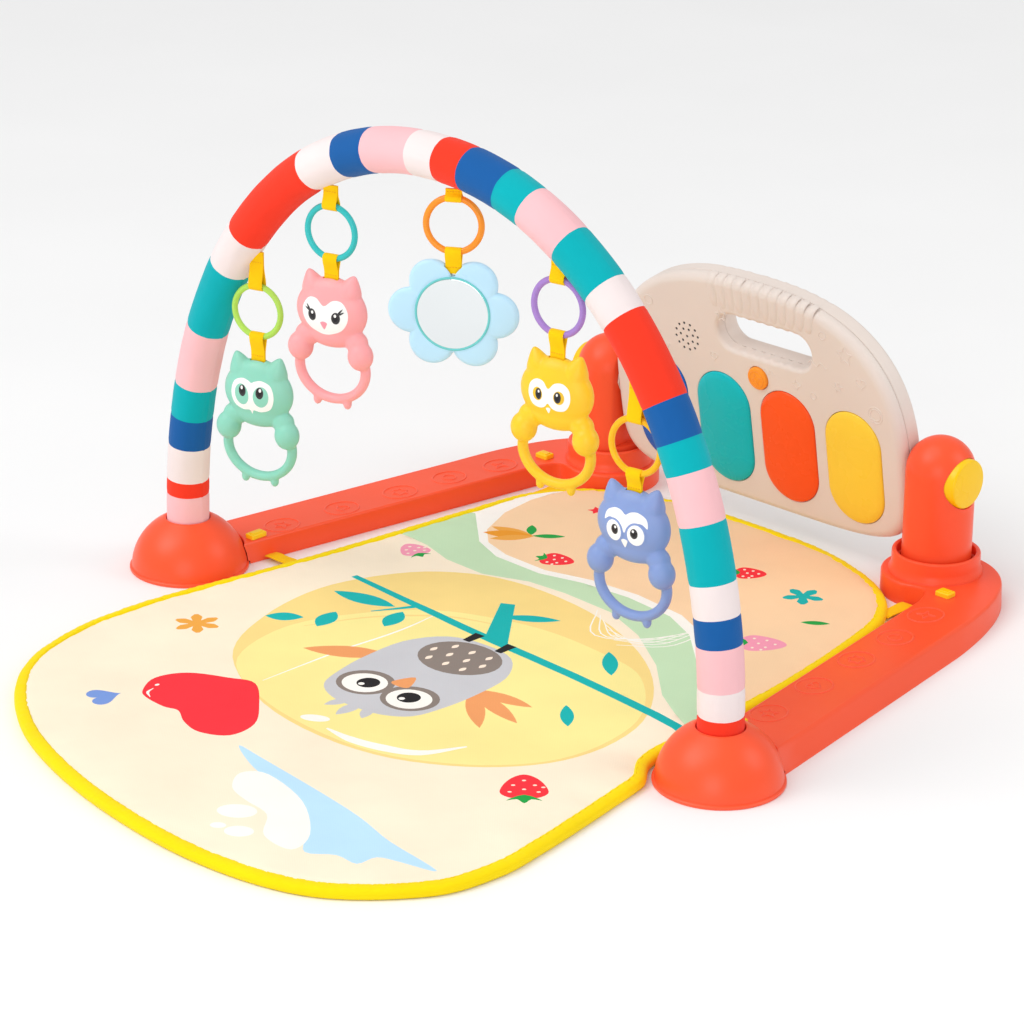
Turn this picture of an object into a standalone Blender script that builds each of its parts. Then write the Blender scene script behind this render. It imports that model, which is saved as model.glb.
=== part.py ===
"""Activity play gym: a padded mat between two base rails, a toy arch and a tilting piano panel.

Metres, +Z up. The origin is on the floor under the middle of the gym. The mat's round front
points to -Y and the piano stands at +Y. Sizes along the gym are given from the arch's plane,
which lies at y = ARCH_Y.
"""

import math

import bmesh
import bpy
from mathutils import Vector
from mathutils.geometry import interpolate_bezier

# Driving dimensions
GAP = 0.0004                # clearance left between neighbouring pieces
ARCH_HALF = 0.300           # half the distance between the arch's two feet
ARCH_RISE = 0.382           # height of the arch's centreline over its springing
ARCH_SPRING = 0.043         # height where the curve starts
ARCH_POWER = 2.1            # superellipse exponent of the arch
SLEEVE_R = 0.018            # padded fabric sleeve
SLEEVE_BORE = 0.0136
CORE_R = 0.0128             # plastic tube inside the sleeve
CORE_BORE = 0.0106
SPIGOT_R = 0.0099           # end of the left tube that plugs into the right one
SPIGOT_BORE = 0.0078
ARCH_STEPS = 28
CORE_FOOT = 0.0130          # height of the tube's ends inside their sockets

DOME_R = 0.0495
DOME_LIP_R = 0.0510
DOME_LIP_H = 0.0030
DOME_H = 0.0497
DOME_TOP = 0.0450
DOME_CUP_R = 0.0188
DOME_CLEAR = 0.0011

RAIL_INNER = 0.272          # inner and outer edges of a rail at the arch's plane
RAIL_OUTER = 0.336
RAIL_SPLAY = 0.153          # the rails close in towards the piano
RAIL_TAPER = 0.008          # the outer side leans in by this much over its height
RAIL_H = 0.020
RAIL_WALL = 0.0024
PAD_R = 0.046               # round pad under a post

POST_X = 0.187
POST_Y = 0.409
POST_R = 0.0296
POST_FOOT = 0.0045
POST_TOP = 0.139
POST_FLAT = 0.0215          # distance from the post's axis to the flat facing the piano
COLLAR_R = 0.0375
COLLAR_FOOT_R = 0.0400
COLLAR_TOP = 0.038
COLLAR_BORE = 0.0306

PIVOT_Z = 0.104
LEAN = math.radians(10)     # the piano's top leans towards the baby
PANEL_HALF = 0.163
PANEL_UP = 0.140            # panel edge above and below the pivot
PANEL_DOWN = 0.076
PANEL_FRONT = -0.019        # panel faces along its own depth axis, from the pivot
PANEL_SPLIT = -0.008
PANEL_BACK = 0.009
PANEL_WALL = 0.0022
SHAFT_R = 0.0068
SHAFT_BORE = 0.0071

KEY_PITCH = 0.072
KEY_MIDDLE = 0.002
KEY_HALF_W = 0.0298
KEY_HALF_H = 0.0530
KEY_Z = -0.006
SLOT_X, SLOT_Z = 0.018, 0.0895
SLOT_HALF_W, SLOT_HALF_H = 0.052, 0.0165
MODE_X, MODE_Z, MODE_R = 0.009, 0.0530, 0.0105
SPEAKER_X, SPEAKER_Z, SPEAKER_R = -0.070, 0.073, 0.0130
BATTERY_Z = -0.012
BATTERY_R, BATTERY_HALF = 0.0071, 0.0252
SWITCH_X, SWITCH_Z = 0.080, 0.030
CAP_R = 0.0212

# Snap blocks on the rails: name, x, y from the arch's plane, half width, half length
CLIPS = [("front", 0.2720, 0.052, 0.0050, 0.0085), ("rear", 0.2290, 0.368, 0.0070, 0.0055)]

# Mat's edge, counter-clockwise from the middle of its front, y from the arch's plane. The soft
# mat lies a little askew in its four tabs, with its front swung to the right.
MAT_EDGE = [
    (0.000, -0.3595), (0.120, -0.3690), (0.217, -0.3480), (0.279, -0.2885), (0.295, -0.1990),
    (0.2858, -0.1500), (0.2782, -0.1000), (0.2728, -0.0660), (0.2690, -0.0485), (0.2610, -0.0372),
    (0.2525, -0.0245), (0.2480, -0.0060), (0.2470, 0.0150), (0.246, 0.0400), (0.240, 0.1500),
    (0.222, 0.2640), (0.203, 0.3230), (0.1600, 0.3680), (0.085, 0.3970), (0.000, 0.4030),
    (-0.085, 0.3970), (-0.1600, 0.3680), (-0.1985, 0.3180), (-0.210, 0.2505), (-0.222, 0.1390),
    (-0.233, 0.0500), (-0.2475, -0.0350), (-0.2555, -0.1030), (-0.252, -0.1700),
    (-0.2285, -0.2365), (-0.180, -0.2885), (-0.107, -0.3300),
]
MAT_THICK = 0.008
TAB_HALF = 0.0065
TAB_GAP = 0.0008            # between a tab's ends and the mat or the rail
FRONT_TAB_Y = 0.060
REAR_TAB_X, REAR_TAB_END = 0.196, 0.3620
TAB_LEVELS = (0.0034, 0.0046)
ARCH_Y = -0.0430            # puts the origin under the middle of the gym's length

RIBBON_W = 0.013
RIBBON_T = 0.0012
RING_R = 0.0218             # centreline radius of a hanging ring
WIRE_R = 0.0025
LOOP_R = 0.0041             # inner radius of a ribbon where it wraps a ring

# Hanging toys: name, place along the arch, ring centre height, height of the toy's top,
# turn about Z in degrees, ring colour, toy colour
TOYS = [
    ("mint", -0.2070, 0.252, 0.211, 16, (0.62, 0.80, 0.22), (0.42, 0.77, 0.66)),
    ("pink", -0.1185, 0.339, 0.302, 15, (0.05, 0.60, 0.62), (0.95, 0.58, 0.60)),
    ("flower", 0.018, 0.375, 0.336, 32, (0.95, 0.42, 0.08), (0.62, 0.84, 0.96)),
    ("yellow", 0.1285, 0.335, 0.296, 10, (0.60, 0.45, 0.78), (0.96, 0.72, 0.05)),
    ("blue", 0.209, 0.245, 0.211, 8, (0.98, 0.62, 0.03), (0.40, 0.50, 0.78)),
]
SIDES = [("left", -1), ("right", 1)]

RED_ORANGE = (0.95, 0.16, 0.04)
YELLOW = (1.0, 0.68, 0.0)
CREAM = (0.84, 0.78, 0.72)


def smooth_loop(points, steps):
    """Closed Catmull-Rom curve through flat points."""
    curve = []
    count = len(points)
    for i in range(count):
        a, b, c, d = (Vector(points[(i + k) % count]) for k in (-1, 0, 1, 2))
        for k in range(steps):
            t = k / steps
            p = (2 * b + (c - a) * t + (2 * a - 5 * b + 4 * c - d) * t ** 2
                 + (3 * b - a - 3 * c + d) * t ** 3) / 2
            curve.append((p.x, p.y))
    return curve




def material(name, color, roughness, metallic=0.0):
    made = bpy.data.materials.get(name)
    if made:
        return made
    made = bpy.data.materials.new(name)
    made.use_nodes = True
    shader = made.node_tree.nodes["Principled BSDF"]
    shader.inputs["Base Color"].default_value = (*color, 1)
    shader.inputs["Roughness"].default_value = roughness
    shader.inputs["Metallic"].default_value = metallic
    return made


def loft(name, rings, look, parent=None, place=None, closed=False):
    """Skins matching rings of points into one closed body; closed joins the last ring to the first."""
    bm = bmesh.new()
    loops = [[bm.verts.new(point) for point in ring] for ring in rings]
    pairs = list(zip(loops, loops[1:]))
    if closed:
        pairs.append((loops[-1], loops[0]))
    else:
        bm.faces.new(loops[0][::-1])
        bm.faces.new(loops[-1])
    for low, high in pairs:
        for i in range(len(low)):
            j = (i + 1) % len(low)
            bm.faces.new((low[i], low[j], high[j], high[i]))
    bmesh.ops.recalc_face_normals(bm, faces=bm.faces)
    mesh = bpy.data.meshes.new(name)
    bm.to_mesh(mesh)
    bm.free()
    mesh.shade_smooth()
    mesh.set_sharp_from_angle(angle=math.radians(40))
    mesh.materials.append(look)
    made = bpy.data.objects.new(name, mesh)
    bpy.context.scene.collection.objects.link(made)
    if parent:
        made.parent = parent
    if place:
        made.location = place
    return made


def boolean(target, tool, operation="DIFFERENCE"):
    """Applies a hidden tool body to target."""
    tool.hide_render = True
    tool.display_type = "WIRE"
    modifier = target.modifiers.new(tool.name, "BOOLEAN")
    modifier.operation = operation
    modifier.object = tool
    modifier.solver = "EXACT"


def axis_empty(name, place, turn=(0, 0, 0), parent=None):
    empty = bpy.data.objects.new(name, None)
    empty.location = place
    empty.rotation_euler = turn
    bpy.context.scene.collection.objects.link(empty)
    if parent:
        empty.parent = parent
    return empty


# Rings of points. A flat outline is a list of (u, v) pairs.

def disc(radius, count, centre=(0, 0)):
    turns = [2 * math.pi * i / count for i in range(count)]
    return [(centre[0] + radius * math.cos(t), centre[1] + radius * math.sin(t)) for t in turns]


def capsule(half_w, half_h, centre=(0, 0), steps=4):
    """Stadium outline, upright or lying, whichever half is longer."""
    r = min(half_w, half_h)
    points = []
    for i in range(4):
        sx, sy = ((1, 1), (-1, 1), (-1, -1), (1, -1))[i]
        for k in range(steps + 1):
            if half_w != half_h and k == steps and i % 2 == (0 if half_h > half_w else 1):
                continue
            t = math.pi / 2 * (i + k / steps)
            points.append((centre[0] + sx * (half_w - r) + r * math.cos(t),
                           centre[1] + sy * (half_h - r) + r * math.sin(t)))
    return points


def rounded(half_w, half_h, r, centre=(0, 0), steps=2):
    """Rectangle with round corners."""
    points = []
    for i, (sx, sy) in enumerate(((1, 1), (-1, 1), (-1, -1), (1, -1))):
        for k in range(steps + 1):
            t = math.pi / 2 * (i + k / steps)
            points.append((centre[0] + sx * (half_w - r) + r * math.cos(t),
                           centre[1] + sy * (half_h - r) + r * math.sin(t)))
    return points


def inset(points, depth):
    """Moves a counter-clockwise outline inwards."""
    moved = []
    for i, (u, v) in enumerate(points):
        before, after = Vector(points[i - 1]), Vector(points[(i + 1) % len(points)])
        along = (after - before).normalized()
        moved.append((u - along.y * depth, v + along.x * depth))
    return moved


def lying(outline, z, centre=(0, 0)):
    """Outline in a level plane; centre is given from the arch's plane."""
    return [(centre[0] + u, ARCH_Y + centre[1] + v, z) for u, v in outline]


def facing(outline, depth):
    """Outline in the panel's or a toy's own upright plane."""
    return [(u, depth, v) for u, v in outline]


def across(outline, x):
    """Outline in a plane across the X axis."""
    return [(x, u, v) for u, v in outline]


def rounding(start, radius, direction, steps=2):
    """(depth, inset) pairs of a quarter-round edge."""
    turns = [math.pi / 2 * (i + 1) / steps for i in range(steps)]
    return [(start + direction * radius * math.sin(t), radius * (1 - math.cos(t))) for t in turns]


# Base: two rails with round pads, domes, collars and posts

def dome_radius(z):
    if z <= DOME_LIP_H:
        return DOME_LIP_R
    return DOME_R * math.sqrt(1 - (z / DOME_H) ** 2)


def rail_outline(z, depth=0.0):
    """Right rail's outline at height z, moved inwards by depth, counter-clockwise."""
    ring = dome_radius(z) + DOME_CLEAR + depth
    outer_edge = RAIL_OUTER - RAIL_TAPER * min(z / RAIL_H, 1) - depth
    inner_edge = RAIL_INNER + depth

    def on_dome(edge):
        offset = edge - ARCH_HALF
        root = math.sqrt(ring ** 2 * (1 + RAIL_SPLAY ** 2) - offset ** 2)
        y = (offset * RAIL_SPLAY + root) / (1 + RAIL_SPLAY ** 2)
        return math.atan2(y, offset - RAIL_SPLAY * y)

    first, last = on_dome(inner_edge), on_dome(outer_edge)
    arc = [first + (last - first) * i / 6 for i in range(7)]
    points = [(ARCH_HALF + ring * math.cos(t), ring * math.sin(t)) for t in arc]
    corner = Vector((outer_edge - RAIL_SPLAY * 0.31, 0.31))
    rear = Vector((POST_X, POST_Y + PAD_R - depth))
    pulls = Vector((0.270 - depth, 0.405 - depth / 2)), Vector((0.240, rear.y))
    points += [(p.x, p.y) for p in interpolate_bezier(corner, *pulls, rear, 7)]
    radius = PAD_R - depth
    turns = [math.radians(90 + 20 * i) for i in range(1, 10)]
    points += [(POST_X + radius * math.cos(t), POST_Y + radius * math.sin(t)) for t in turns]
    notch = Vector((POST_X + 0.024, POST_Y - 0.039))
    low = Vector((inner_edge - RAIL_SPLAY * 0.345, 0.345))
    start = Vector(points[-1])
    points += [(p.x, p.y) for p in interpolate_bezier(start, notch, notch, low, 4)[1:]]
    return points


def rail_ring(side, z, depth):
    return [(side * x, ARCH_Y + y, z) for x, y in rail_outline(z, depth)]


def build_rail(name, side):
    plastic = material("base_plastic", RED_ORANGE, 0.35)
    outer = [(RAIL_H, 0.0024), (0.0176, 0), (0.0105, 0), (DOME_LIP_H, 0), (0, 0)]
    inner = [(0, 1), (DOME_LIP_H, 1), (0.0105, 1), (RAIL_H - RAIL_WALL, 1.7)]
    rings = [rail_ring(side, z, d) for z, d in outer]
    rings += [rail_ring(side, z, d * RAIL_WALL) for z, d in inner]
    shell = loft(f"{name}_rail_shell", rings, plastic)
    post = (side * POST_X, POST_Y)
    collar = [(0.0190, COLLAR_FOOT_R), (0.0215, COLLAR_FOOT_R), (0.0250, 0.0380), (0.0360, COLLAR_R),
              (COLLAR_TOP, 0.0362)]
    rings = [lying(disc(r, 24), z, post) for z, r in collar]
    boolean(shell, loft(f"{name}_collar_tool", rings, plastic), "UNION")
    bore = [(POST_FOOT / 2 + 0.001, COLLAR_BORE), (0.0290, COLLAR_BORE)]
    bore += [(COLLAR_TOP, 0.0335), (0.05, 0.0335)]
    rings = [lying(disc(r, 20), z, post) for z, r in bore]
    boolean(shell, loft(f"{name}_bore_tool", rings, plastic))
    cover = [rail_ring(side, z, RAIL_WALL + GAP) for z in (0.0, 0.0020)]
    loft(f"{name}_rail_cover", cover, material("cover_plastic", (0.85, 0.20, 0.08), 0.5))


def build_dome(name, side):
    """Bell-shaped foot with the socket that holds the arch's end."""
    floor, bore = 0.0120, CORE_R + GAP
    profile = [(floor, bore), (0.0400, bore), (0.0400, DOME_CUP_R), (0.0440, DOME_CUP_R), (0.0455, 0.0202),
               (DOME_TOP, 0.0210)]
    profile += [(z, dome_radius(z)) for z in (0.0400, 0.0320, 0.0220, 0.0105, 0.0036)]
    profile += [(0.0026, DOME_LIP_R), (0.0, DOME_LIP_R), (0.0, 0.0470), (0.0040, 0.0468)]
    profile += [(z, dome_radius(z) - 0.0028) for z in (0.0105, 0.0220, 0.0330)]
    profile += [(0.0372, 0.0160), (floor - 0.0025, 0.0160)]
    rings = [lying(disc(r, 20), z, (side * ARCH_HALF, 0)) for z, r in profile]
    loft(f"{name}_dome", rings, material("base_plastic", RED_ORANGE, 0.35))


def build_post(name, side):
    """Hollow column with a flat towards the piano and a round head."""
    shoulder = POST_TOP - POST_R
    count = 20

    def ring(z, radius, flat):
        return [(side * (POST_X + max(u, -flat)), ARCH_Y + POST_Y + v, z) for u, v in disc(radius, count)]

    def wall(radius, flat):
        rings = [ring(POST_FOOT, radius, radius), ring(0.0400, radius, radius), ring(0.0406, radius, flat),
                 ring(shoulder, radius, flat)]
        turns = [math.radians(t) for t in (25, 48, 68, 82)]
        return rings + [ring(shoulder + radius * math.sin(t), radius * math.cos(t), flat) for t in turns]

    inner = wall(POST_R - RAIL_WALL, POST_FLAT - RAIL_WALL)
    look = material("base_plastic", RED_ORANGE, 0.35)
    post = loft(f"{name}_post", wall(POST_R, POST_FLAT)[::-1] + inner, look)
    pivot = (ARCH_Y + POST_Y, PIVOT_Z)
    bores = [("shaft", SHAFT_BORE, -0.026, -0.010), ("cap", CAP_R + GAP, 0.006, 0.040)]
    for label, radius, start, end in bores:
        rings = [across(disc(radius, 16, pivot), side * (POST_X + x)) for x in (start, end)]
        boolean(post, loft(f"{name}_{label}_tool", rings, look))
    button_axis = axis_empty(f"{name}_button_axis", (side * POST_X, ARCH_Y + POST_Y, PIVOT_Z))
    profile = [(0.0115, CAP_R - 0.001), (0.0125, CAP_R), (0.0290, CAP_R), (0.0302, CAP_R - 0.0015),
               (0.0308, CAP_R - 0.006)]
    rings = [across(disc(r, 20), side * x) for x, r in profile]
    loft(f"{name}_release_button", rings, material("yellow_plastic", YELLOW, 0.3), button_axis)


def build_clips(name, side):
    """Snap blocks that hold the mat's tabs: one on the rail's inner edge, one beside the collar."""
    look = material("yellow_plastic", YELLOW, 0.3)
    for label, x, y, half_w, half_l in CLIPS:
        rings = [lying(rounded(half_w - d, half_l - d, 0.0016), z, (side * x, y))
                 for z, d in ((RAIL_H + GAP, 0), (RAIL_H + 0.0030, 0), (RAIL_H + 0.0042, 0.001))]
        loft(f"{name}_{label}_clip", rings, look)


# Mat

def mat_crossing(axis, value, side):
    """Where the mat's edge crosses x or y = value, the furthest way along the other axis."""
    edge = smooth_loop(MAT_EDGE, 12)
    found = []
    for start, end in zip(edge, edge[1:] + edge[:1]):
        if (start[axis] - value) * (end[axis] - value) <= 0 and start[axis] != end[axis]:
            share = (value - start[axis]) / (end[axis] - start[axis])
            found.append(side * (start[1 - axis] + share * (end[1 - axis] - start[1 - axis])))
    return max(found)


def build_mat():
    outline = smooth_loop(MAT_EDGE, 3)
    levels = [(0.0, 0.0035), (0.0016, 0.0008), (0.0040, 0), (0.0064, 0.0008), (MAT_THICK, 0.0035)]
    look = material("mat_fabric", (0.98, 0.90, 0.74), 0.9)
    loft("play_mat", [lying(inset(outline, d), z) for z, d in levels], look)
    tape = material("yellow_fabric", (1.0, 0.72, 0.05), 0.8)
    for name, side in SIDES:
        corners = []
        for y, is_end in ((-1, 0), (-1, 1), (1, 1), (1, 0)):
            y = FRONT_TAB_Y + y * TAB_HALF
            inner = mat_crossing(1, y, side) + TAB_GAP
            corners.append((side * (RAIL_INNER - RAIL_SPLAY * y - TAB_GAP if is_end else inner), y))
        loft(f"{name}_front_tab", [lying(corners, z) for z in TAB_LEVELS], tape)
        xs = [side * (REAR_TAB_X + u) for u in (-TAB_HALF, TAB_HALF)]
        corners = [(x, mat_crossing(0, x, 1) + 4 * TAB_GAP) for x in xs]
        corners += [(x, REAR_TAB_END) for x in xs[::-1]]
        loft(f"{name}_rear_tab", [lying(corners, z) for z in TAB_LEVELS], tape)


# Piano panel, built in its own leaning frame: u across, depth back, v up

def panel_outline(depth=0.0, count=32):
    points = []
    for i in range(count):
        t = 2 * math.pi * i / count
        height, power = (PANEL_UP, 2.6) if math.sin(t) >= 0 else (PANEL_DOWN, 5)
        u = (PANEL_HALF - depth) * math.copysign(abs(math.cos(t)) ** (2 / power), math.cos(t))
        v = (height - depth) * math.copysign(abs(math.sin(t)) ** (2 / power), math.sin(t))
        points.append((u, v))
    return points


def slab(name, levels, outline, look, parent, place=None):
    return loft(name, [facing(outline(d), n) for n, d in levels], look, parent, place)


def slot_outline(depth=0.0):
    return capsule(SLOT_HALF_W - depth, SLOT_HALF_H - depth, (SLOT_X, SLOT_Z))


def key_places():
    return [KEY_MIDDLE + KEY_PITCH * (i - 1.5) for i in range(4)]


def hollow(name, shell, levels, look, axis):
    """Cuts the inside out of a panel shell but leaves the wall round the carrying slot."""
    cavity = slab(f"{name}_cavity_tool", levels, panel_outline, look, axis)
    ends = ((-0.03, -PANEL_WALL), (0.03, -PANEL_WALL))
    block = slab(f"{name}_slot_wall_tool", ends, slot_outline, look, axis)
    boolean(cavity, block)
    boolean(shell, cavity)
    boolean(shell, slab(f"{name}_slot_tool", ((-0.035, 0), (0.035, 0)), slot_outline, look, axis))


def build_front_shell(axis):
    look = material("panel_plastic", CREAM, 0.45)
    round_at = PANEL_FRONT + 0.008
    outside = [(PANEL_SPLIT - GAP / 2, 0), (round_at, 0)] + rounding(round_at, 0.008, -1)
    inside = [(PANEL_SPLIT + 0.001, PANEL_WALL), (round_at, PANEL_WALL)]
    inside += [(n, PANEL_WALL + d) for n, d in rounding(round_at, 0.008 - PANEL_WALL, -1)]
    shell = slab("piano_front_shell", outside, panel_outline, look, axis)
    hollow("front", shell, inside, look, axis)
    holes = [capsule(KEY_HALF_W + GAP, KEY_HALF_H + GAP, (x, KEY_Z)) for x in key_places()]
    holes.append(disc(MODE_R + GAP, 16, (MODE_X, MODE_Z)))
    for i, hole in enumerate(holes):
        rings = [facing(hole, n) for n in (-0.024, -0.015)]
        boolean(shell, loft(f"button_hole_{i}_tool", rings, look, axis))


def build_back_shell(axis):
    look = material("panel_plastic", CREAM, 0.45)
    round_at = PANEL_BACK - 0.006
    outside = [(PANEL_SPLIT + GAP / 2, 0), (round_at, 0)] + rounding(round_at, 0.006, 1)
    inside = [(PANEL_SPLIT - 0.001, PANEL_WALL), (round_at, PANEL_WALL)]
    inside += [(n, PANEL_WALL + d) for n, d in rounding(round_at, 0.006 - PANEL_WALL, 1)]
    shell = slab("piano_back_shell", outside, panel_outline, look, axis)
    hollow("back", shell, inside, look, axis)
    place = (0, BATTERY_Z)
    boss = [(0.0078, 0.0290, 0.0260), (0.0178, 0.0290, 0.0260), (0.0190, 0.0280, 0.0250)]
    rings = [facing(rounded(w, h, 0.004, place), n) for n, w, h in boss]
    boolean(shell, loft("battery_boss_tool", rings, look, axis), "UNION")
    well = rounded(0.0268, 0.0238, 0.0015, place)
    boolean(shell, loft("battery_well_tool", [facing(well, n) for n in (0.004, 0.021)], look, axis))
    opening = rounded(0.0074, 0.0034, 0.0008, (SWITCH_X, SWITCH_Z))
    boolean(shell, loft("switch_hole_tool", [facing(opening, n) for n in (0.005, 0.012)], look, axis))
    for name, side in SIDES:
        rings = [across(disc(SHAFT_BORE, 12), side * x) for x in (0.148, 0.170)]
        boolean(shell, loft(f"{name}_hub_hole_tool", rings, look, axis))


def build_panel_inside(axis):
    for name, side in SIDES:
        profile = [(0.1505, SHAFT_R), (0.1635, SHAFT_R), (0.1637, 0.0150), (0.1649, 0.0150),
                   (0.1651, SHAFT_R), (0.1795, SHAFT_R)]
        rings = [across(disc(r, 12), side * x) for x, r in profile]
        loft(f"{name}_pivot_hub", rings, material("panel_plastic", CREAM, 0.45), axis)
    board = [facing(rounded(0.145, 0.040, 0.004, (0, KEY_Z)), n) for n in (-0.0104, -0.0090)]
    loft("circuit_board", board, material("board_green", (0.05, 0.28, 0.12), 0.5), axis)
    cone = [(-0.0163, SPEAKER_R), (-0.0135, SPEAKER_R), (-0.0130, 0.0080), (-0.0100, 0.0080)]
    rings = [facing(disc(r, 14, (SPEAKER_X, SPEAKER_Z)), n) for n, r in cone]
    loft("speaker", rings, material("speaker_metal", (0.35, 0.35, 0.37), 0.4, 0.8), axis)
    for i in range(3):
        middle = (0.0085, BATTERY_Z + (i - 1) * 0.0148)
        ends = [(-BATTERY_HALF, BATTERY_R), (BATTERY_HALF - 0.0012, BATTERY_R)]
        ends += [(BATTERY_HALF - 0.0010, 0.0028), (BATTERY_HALF, 0.0028)]
        rings = [across(disc(r, 10, middle), x) for x, r in ends]
        loft(f"battery_{i + 1}", rings, material("battery_wrap", (0.10, 0.22, 0.45), 0.3, 0.4), axis)


def build_controls(axis):
    colours = [("blue", (0.02, 0.30, 0.62)), ("teal", (0.0, 0.42, 0.45)), ("orange", (1.0, 0.16, 0.02)),
               ("yellow", (0.98, 0.62, 0.06))]
    levels = [(-0.0138, -0.0012), (-0.0162, -0.0012), (-0.0163, 0), (-0.0208, 0), (-0.0225, 0.0030),
              (-0.0235, 0.0120)]
    for x, (colour, rgb) in zip(key_places(), colours):
        slab(f"{colour}_key", levels, lambda d: capsule(KEY_HALF_W - d, KEY_HALF_H - d),
             material(f"key_{colour}", rgb, 0.3), axis, (x, 0, KEY_Z))
    levels = [(-0.0140, -0.0012), (-0.0162, -0.0012), (-0.0163, 0), (-0.0208, 0), (-0.0221, 0.0040)]
    look = material("orange_plastic", (0.95, 0.40, 0.05), 0.35)
    slab("mode_button", levels, lambda d: disc(MODE_R - d, 16), look, axis, (MODE_X, 0, MODE_Z))
    door = [facing(rounded(0.0264, 0.0234, 0.0012), n) for n in (0.0172, 0.0190)]
    loft("battery_door", door, material("panel_plastic", CREAM, 0.45), axis, (0, 0, BATTERY_Z))
    switch = [(0.0040, 0.0095, 0.0045), (0.0061, 0.0095, 0.0045), (0.0062, 0.0048, 0.0030),
              (0.0108, 0.0048, 0.0030), (0.0112, 0.0044, 0.0026)]
    rings = [facing(rounded(w, h, 0.0006, steps=1), n) for n, w, h in switch]
    look = material("switch_plastic", (0.15, 0.15, 0.16), 0.5)
    loft("power_switch", rings, look, axis, (SWITCH_X - 0.002, 0, SWITCH_Z))


# Arch

def arch_point(turn):
    """Centreline point (x, z) and its unit normal, for turn from 0 (left foot) to pi (right foot)."""
    c, s = math.cos(turn), max(math.sin(turn), 0.0)
    u, v = math.copysign(abs(c) ** (2 / ARCH_POWER), c), s ** (2 / ARCH_POWER)
    across_part = -math.copysign(abs(u) ** (ARCH_POWER - 1), u) / ARCH_HALF
    normal = Vector((across_part, v ** (ARCH_POWER - 1) / ARCH_RISE))
    return Vector((-ARCH_HALF * u, ARCH_SPRING + ARCH_RISE * v)), normal.normalized()


def arch_ring(turn, radius, count, drop=0.0):
    point, normal = arch_point(turn)
    ring = []
    for c, s in disc(radius, count):
        ring.append((point.x + c * normal.x, ARCH_Y + s, point.y + c * normal.y - drop))
    return ring


def arch_turn(x):
    """Turn at which the centreline passes over x."""
    return math.acos(math.copysign(abs(x / ARCH_HALF) ** (ARCH_POWER / 2), -x))


def arch_underside(x):
    """Height and slope of the sleeve's underside at x."""
    point, normal = arch_point(arch_turn(x))
    slope = -normal.x / normal.y
    return point.y - SLEEVE_R * math.sqrt(1 + slope ** 2), slope


def build_arch():
    count = 10
    turns = [math.pi * i / ARCH_STEPS for i in range(ARCH_STEPS + 1)]
    outer = [arch_ring(0, SLEEVE_R, count, 0.0016)] + [arch_ring(t, SLEEVE_R, count) for t in turns]
    outer.append(arch_ring(math.pi, SLEEVE_R, count, 0.0016))
    inner = [arch_ring(0, SLEEVE_BORE, count, 0.0016)] + [arch_ring(t, SLEEVE_BORE, count) for t in turns]
    inner.append(arch_ring(math.pi, SLEEVE_BORE, count, 0.0016))
    fabric = material("sleeve_fabric", (0.93, 0.55, 0.55), 0.9)
    loft("arch_sleeve", outer + inner[::-1], fabric, closed=True)

    tube = material("tube_plastic", (0.90, 0.90, 0.88), 0.5)
    drop = ARCH_SPRING - CORE_FOOT
    feet = turns[:ARCH_STEPS // 2]
    step, male, lip = arch_turn(-0.0202), arch_turn(0.018), arch_turn(-0.024)
    outer = [arch_ring(0, CORE_R, count, drop)] + [arch_ring(t, CORE_R, count) for t in feet]
    outer += [arch_ring(step, CORE_R, count), arch_ring(step + 0.002, SPIGOT_R, count)]
    outer += [arch_ring((step + male) / 2, SPIGOT_R, count), arch_ring(male, SPIGOT_R, count)]
    inner = [arch_ring(0, CORE_BORE, count, drop)] + [arch_ring(t, CORE_BORE, count) for t in feet[:-1]]
    inner += [arch_ring(lip - 0.02, CORE_BORE, count), arch_ring(lip - 0.01, SPIGOT_BORE, count)]
    inner += [arch_ring((step + male) / 2, SPIGOT_BORE, count), arch_ring(male, SPIGOT_BORE, count)]
    loft("arch_tube_left", outer + inner[::-1], tube, closed=True)

    mouth = arch_turn(-0.0190)
    turns = [mouth, math.pi / 2, arch_turn(0.020)] + [math.pi - t for t in feet[::-1]]
    outer = [arch_ring(t, CORE_R, count) for t in turns] + [arch_ring(math.pi, CORE_R, count, drop)]
    inner = [arch_ring(t, CORE_BORE, count) for t in turns] + [arch_ring(math.pi, CORE_BORE, count, drop)]
    loft("arch_tube_right", outer + inner[::-1], tube, closed=True)


# Hanging toys

def ribbon(name, low, high, wrap_top, parent, slope=0.0):
    """Flat ribbon closed to a loop in the plane across its width. One end wraps a ring's wire,
    the other closes to a narrow fold; slope shears the narrow end to follow a slanting surface."""
    wire, end = (high, low) if wrap_top else (low, high)
    way = 1 if wrap_top else -1
    inner_half, pinch = LOOP_R, 0.0010
    arc = [math.radians(a) for a in range(0, 181, 30)]
    path = []
    for t in arc:
        ny, nz = math.cos(t), way * math.sin(t)
        path.append((inner_half * ny, wire + inner_half * nz, ny, nz, 0))
    neck, tip = wire + (end - wire) * 0.55, end + way * RIBBON_T
    path += [(-pinch, neck, -1, 0, 0.5), (-pinch, tip, -1, -way, 1), (pinch, tip, 1, -way, 1),
             (pinch, neck, 1, 0, 0.5)]
    rings = []
    for y, z, ny, nz, share in path:
        y2, z2 = y + ny * RIBBON_T, z + nz * RIBBON_T
        half = RIBBON_W / 2
        ring = [(-half, y, z), (half, y, z), (half, y2, z2), (-half, y2, z2)]
        rings.append([(u, v, w + slope * u * share) for u, v, w in ring])
    return loft(name, rings, material("yellow_fabric", (1.0, 0.72, 0.05), 0.8), parent, closed=True)


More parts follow.
